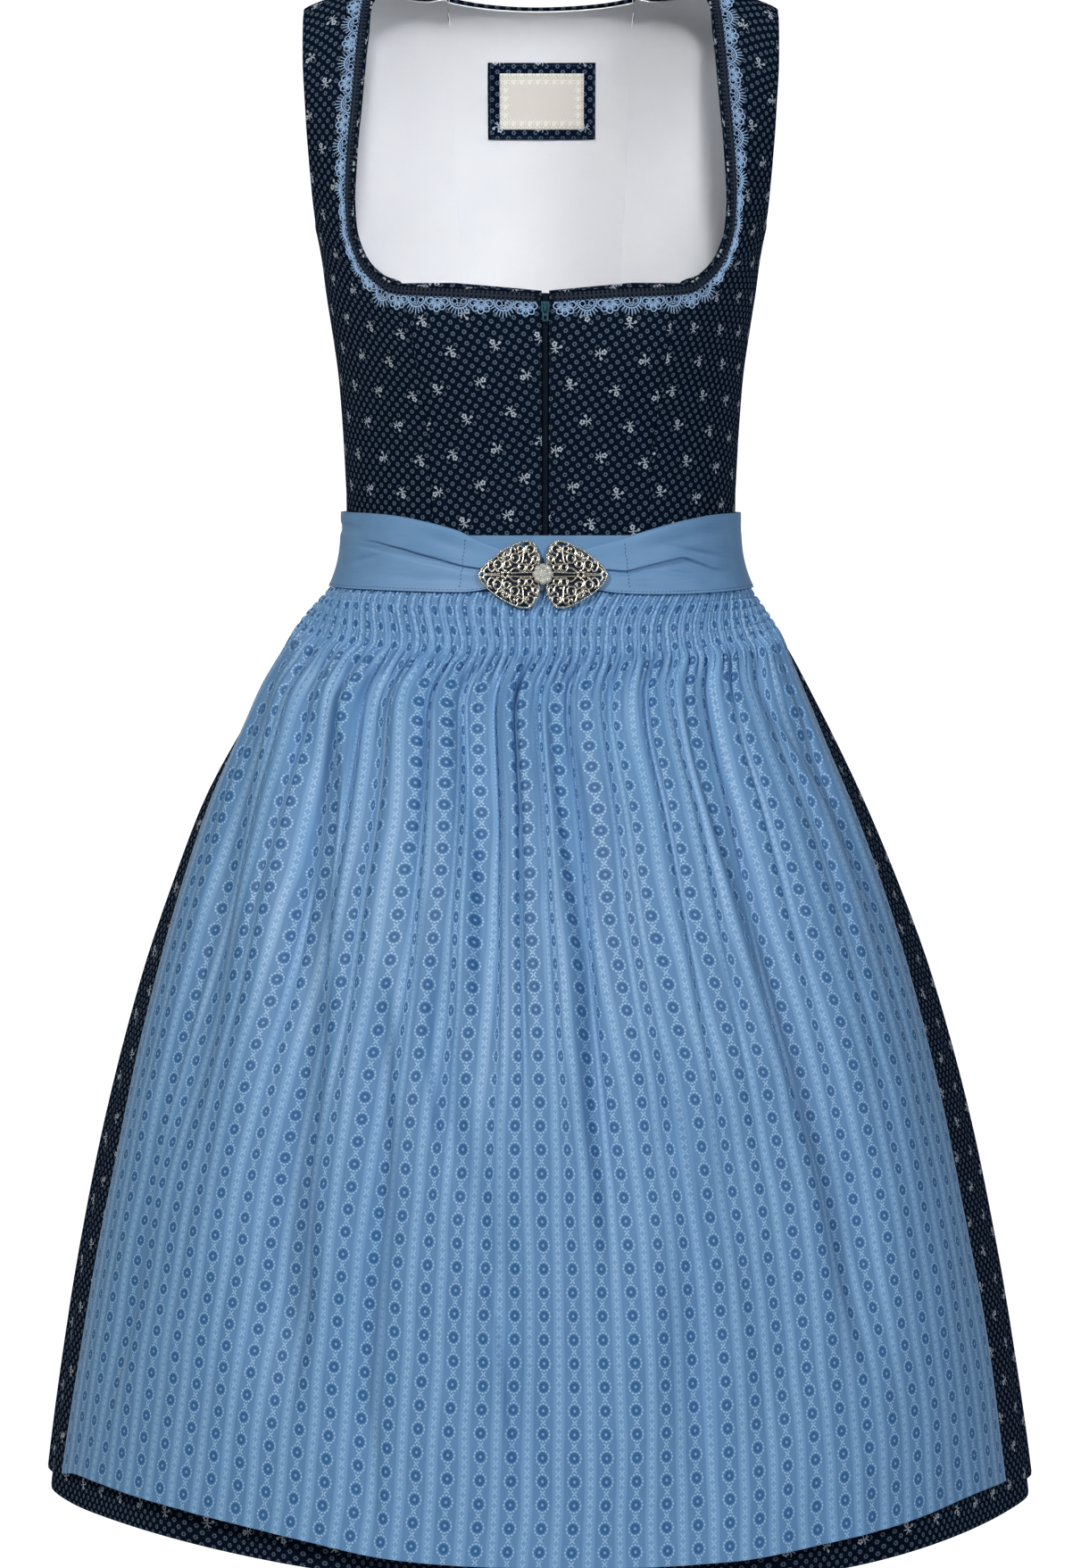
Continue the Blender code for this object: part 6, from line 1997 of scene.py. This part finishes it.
def make_antique_silver():
    """Cast metal, silvered and oxidised: dark where it faces aside, partly as patina in its hollows and
    partly as painted shade, and worn bright where it faces out.
    """
    material, tree, shader = new_material("antique silver casting", Metallic=1.0)
    place = add_node(tree, "TexCoord").node.outputs["Object"]
    # The height layer holds how far each point faces out from the waist. Where it faces aside the colour
    # goes dark: patina in the hollows, and painted shade on the wire sides.
    height = add_node(tree, "UVMap", uv_map="height")
    worn_and_shaded = add_node(tree, "SeparateXYZ", height)
    stains = add_node(tree, "TexNoise", place, sockets={"Scale": 420.0, "Detail": 3.0})
    shifted = add_node(tree, "Math", stains, 0.35, worn_and_shaded, operation="MULTIPLY_ADD")
    share = add_node(tree, "MapRange", shifted, 0.60, 0.95, 0.0, 1.0, interpolation_type="SMOOTHSTEP")
    colour = coloured(tree, share, "#33353a", "#e0dccf")
    tree.links.new(colour, shader.inputs["Base Color"])
    tree.links.new(add_node(tree, "MapRange", share, 0.0, 1.0, 0.55, 0.27), shader.inputs["Roughness"])
    pits = add_node(tree, "TexNoise", place, sockets={"Scale": 1500.0, "Detail": 2.0})
    relief(tree, shader, pits, 0.03, 0.4)
    return material


def clasp_shade_plate(side):
    """A thin dark plate behind the filigree of one leaf, clear of its rim and its tip: painted shade in
    the openings, which are open on the real clasp.
    """
    across = np.linspace(*SHADE_PLATE_REACH, 40)
    edges = []
    for way in (1, -1):
        half = sorted(spot for spot in CLASP_OUTLINE if way * spot[1] > 0)
        edges.append(np.interp(across, *np.array(half).T) - way * SHADE_PLATE_INSET)
    down = np.linspace(0, 1, 12)[:, None]
    up = edges[0] + (edges[1] - edges[0]) * down
    x = CLASP_X + side * np.broadcast_to(across, up.shape)
    if side < 0:
        x, up = x[:, ::-1], up[:, ::-1]
    front, back = [on_clasp(np.stack([x, up, np.full(up.shape, out)], -1))[0] for out in SHADE_PLATE_OUT]
    return front, back, np.stack([x, up], -1) * MM


antique_silver = make_antique_silver()
# A dark plate painted as shade in the openings of the filigree.
painted_shade_metal = make_hard_material("blackened silver plate", 500.0, "#232938", "#30384a", Metallic=1.0,
                               Roughness=0.6)
for side, end in ((1, "_left"), (-1, "_right")):
    front, back, uv = clasp_shade_plate(side)
    plate = closed_cloth("filigree_back" + end, front, back, uv, painted_shade_metal)
    sewn_on(plate)
    leaf = new_trim("filigree" + end, clasp_leaf(side), antique_silver)
    # How far each point faces out from the waist, kept in the height layer. It paints the casting dark
    # where it faces aside, partly as patina and partly as painted shade.
    facing = np.array([v.normal[:] for v in leaf.data.vertices])
    outwards = unit(np.array([v.co[:] for v in leaf.data.vertices]) * np.array([1.0, 1.0, 0.0]))
    wear_and_shade = (facing * outwards).sum(-1) * 0.5 + 0.5
    lay_out(leaf, np.stack([wear_and_shade, wear_and_shade], -1), "height")
    sewn_on(leaf, "clasp" + end)

# Rosette
# A flower of pressed opal glass hides the hook of the clasp. Its eight petals are domed,
# with grooves between them, round a flat polished centre.
ROSETTE_RADIUS = 6.4
ROSETTE_PETALS = 8
ROSETTE_BACK = 2.4
ROSETTE_PROFILE = (
    # share of the radius, height
    (0.0, 2.2),
    (0.30, 2.2),
    (0.38, 2.1),
    (0.44, 1.6),
    (0.55, 2.35),
    (0.75, 2.75),
    (0.90, 2.25),
    (1.0, 1.0),
    (1.02, 0.5),
    (0.9, 0.1),
    (0.62, 0.0),
)


def rosette_points(steps=96):
    """Rings of points from the middle of the face round to the back."""
    angle = np.arange(steps) * math.tau / steps
    rings = []
    for share, high in rounded(ROSETTE_PROFILE, 30)[1:]:
        petal = np.abs(np.cos(ROSETTE_PETALS * angle / 2)) ** 0.6
        edge = 1 + 0.16 * (petal - 0.5) * min(1.0, share * 1.4) ** 2
        dome = high + 1.3 * (petal - 1) * math.exp(-((share - 0.72) / 0.24) ** 2)
        radius = ROSETTE_RADIUS * share * edge
        across, up = CLASP_X + radius * np.cos(angle), radius * np.sin(angle)
        rings.append(np.stack([across, up, ROSETTE_BACK + dome], -1))
    return on_clasp(np.array(rings))[0]


opal = make_hard_material("pressed opal glass", 260.0, "#b4b3ad", "#d3d1c9", Roughness=0.10, IOR=1.5,
                          Subsurface_Weight=0.1, Coat_Weight=0.5, Coat_Roughness=0.05)
rings = rosette_points()
numbers = numbered(rings)
turned = np.roll(numbers, -1, 1)
rosette_faces = np.stack([numbers[:-1], numbers[1:], turned[1:], turned[:-1]], -1).reshape(-1, 4).tolist()
rosette_faces += [numbers[0].tolist(), numbers[-1][::-1].tolist()]
rosette = new_object("rosette", rings.reshape(-1, 3) * MM, rosette_faces, opal)
sewn_on(rosette, "clasp_rosette")
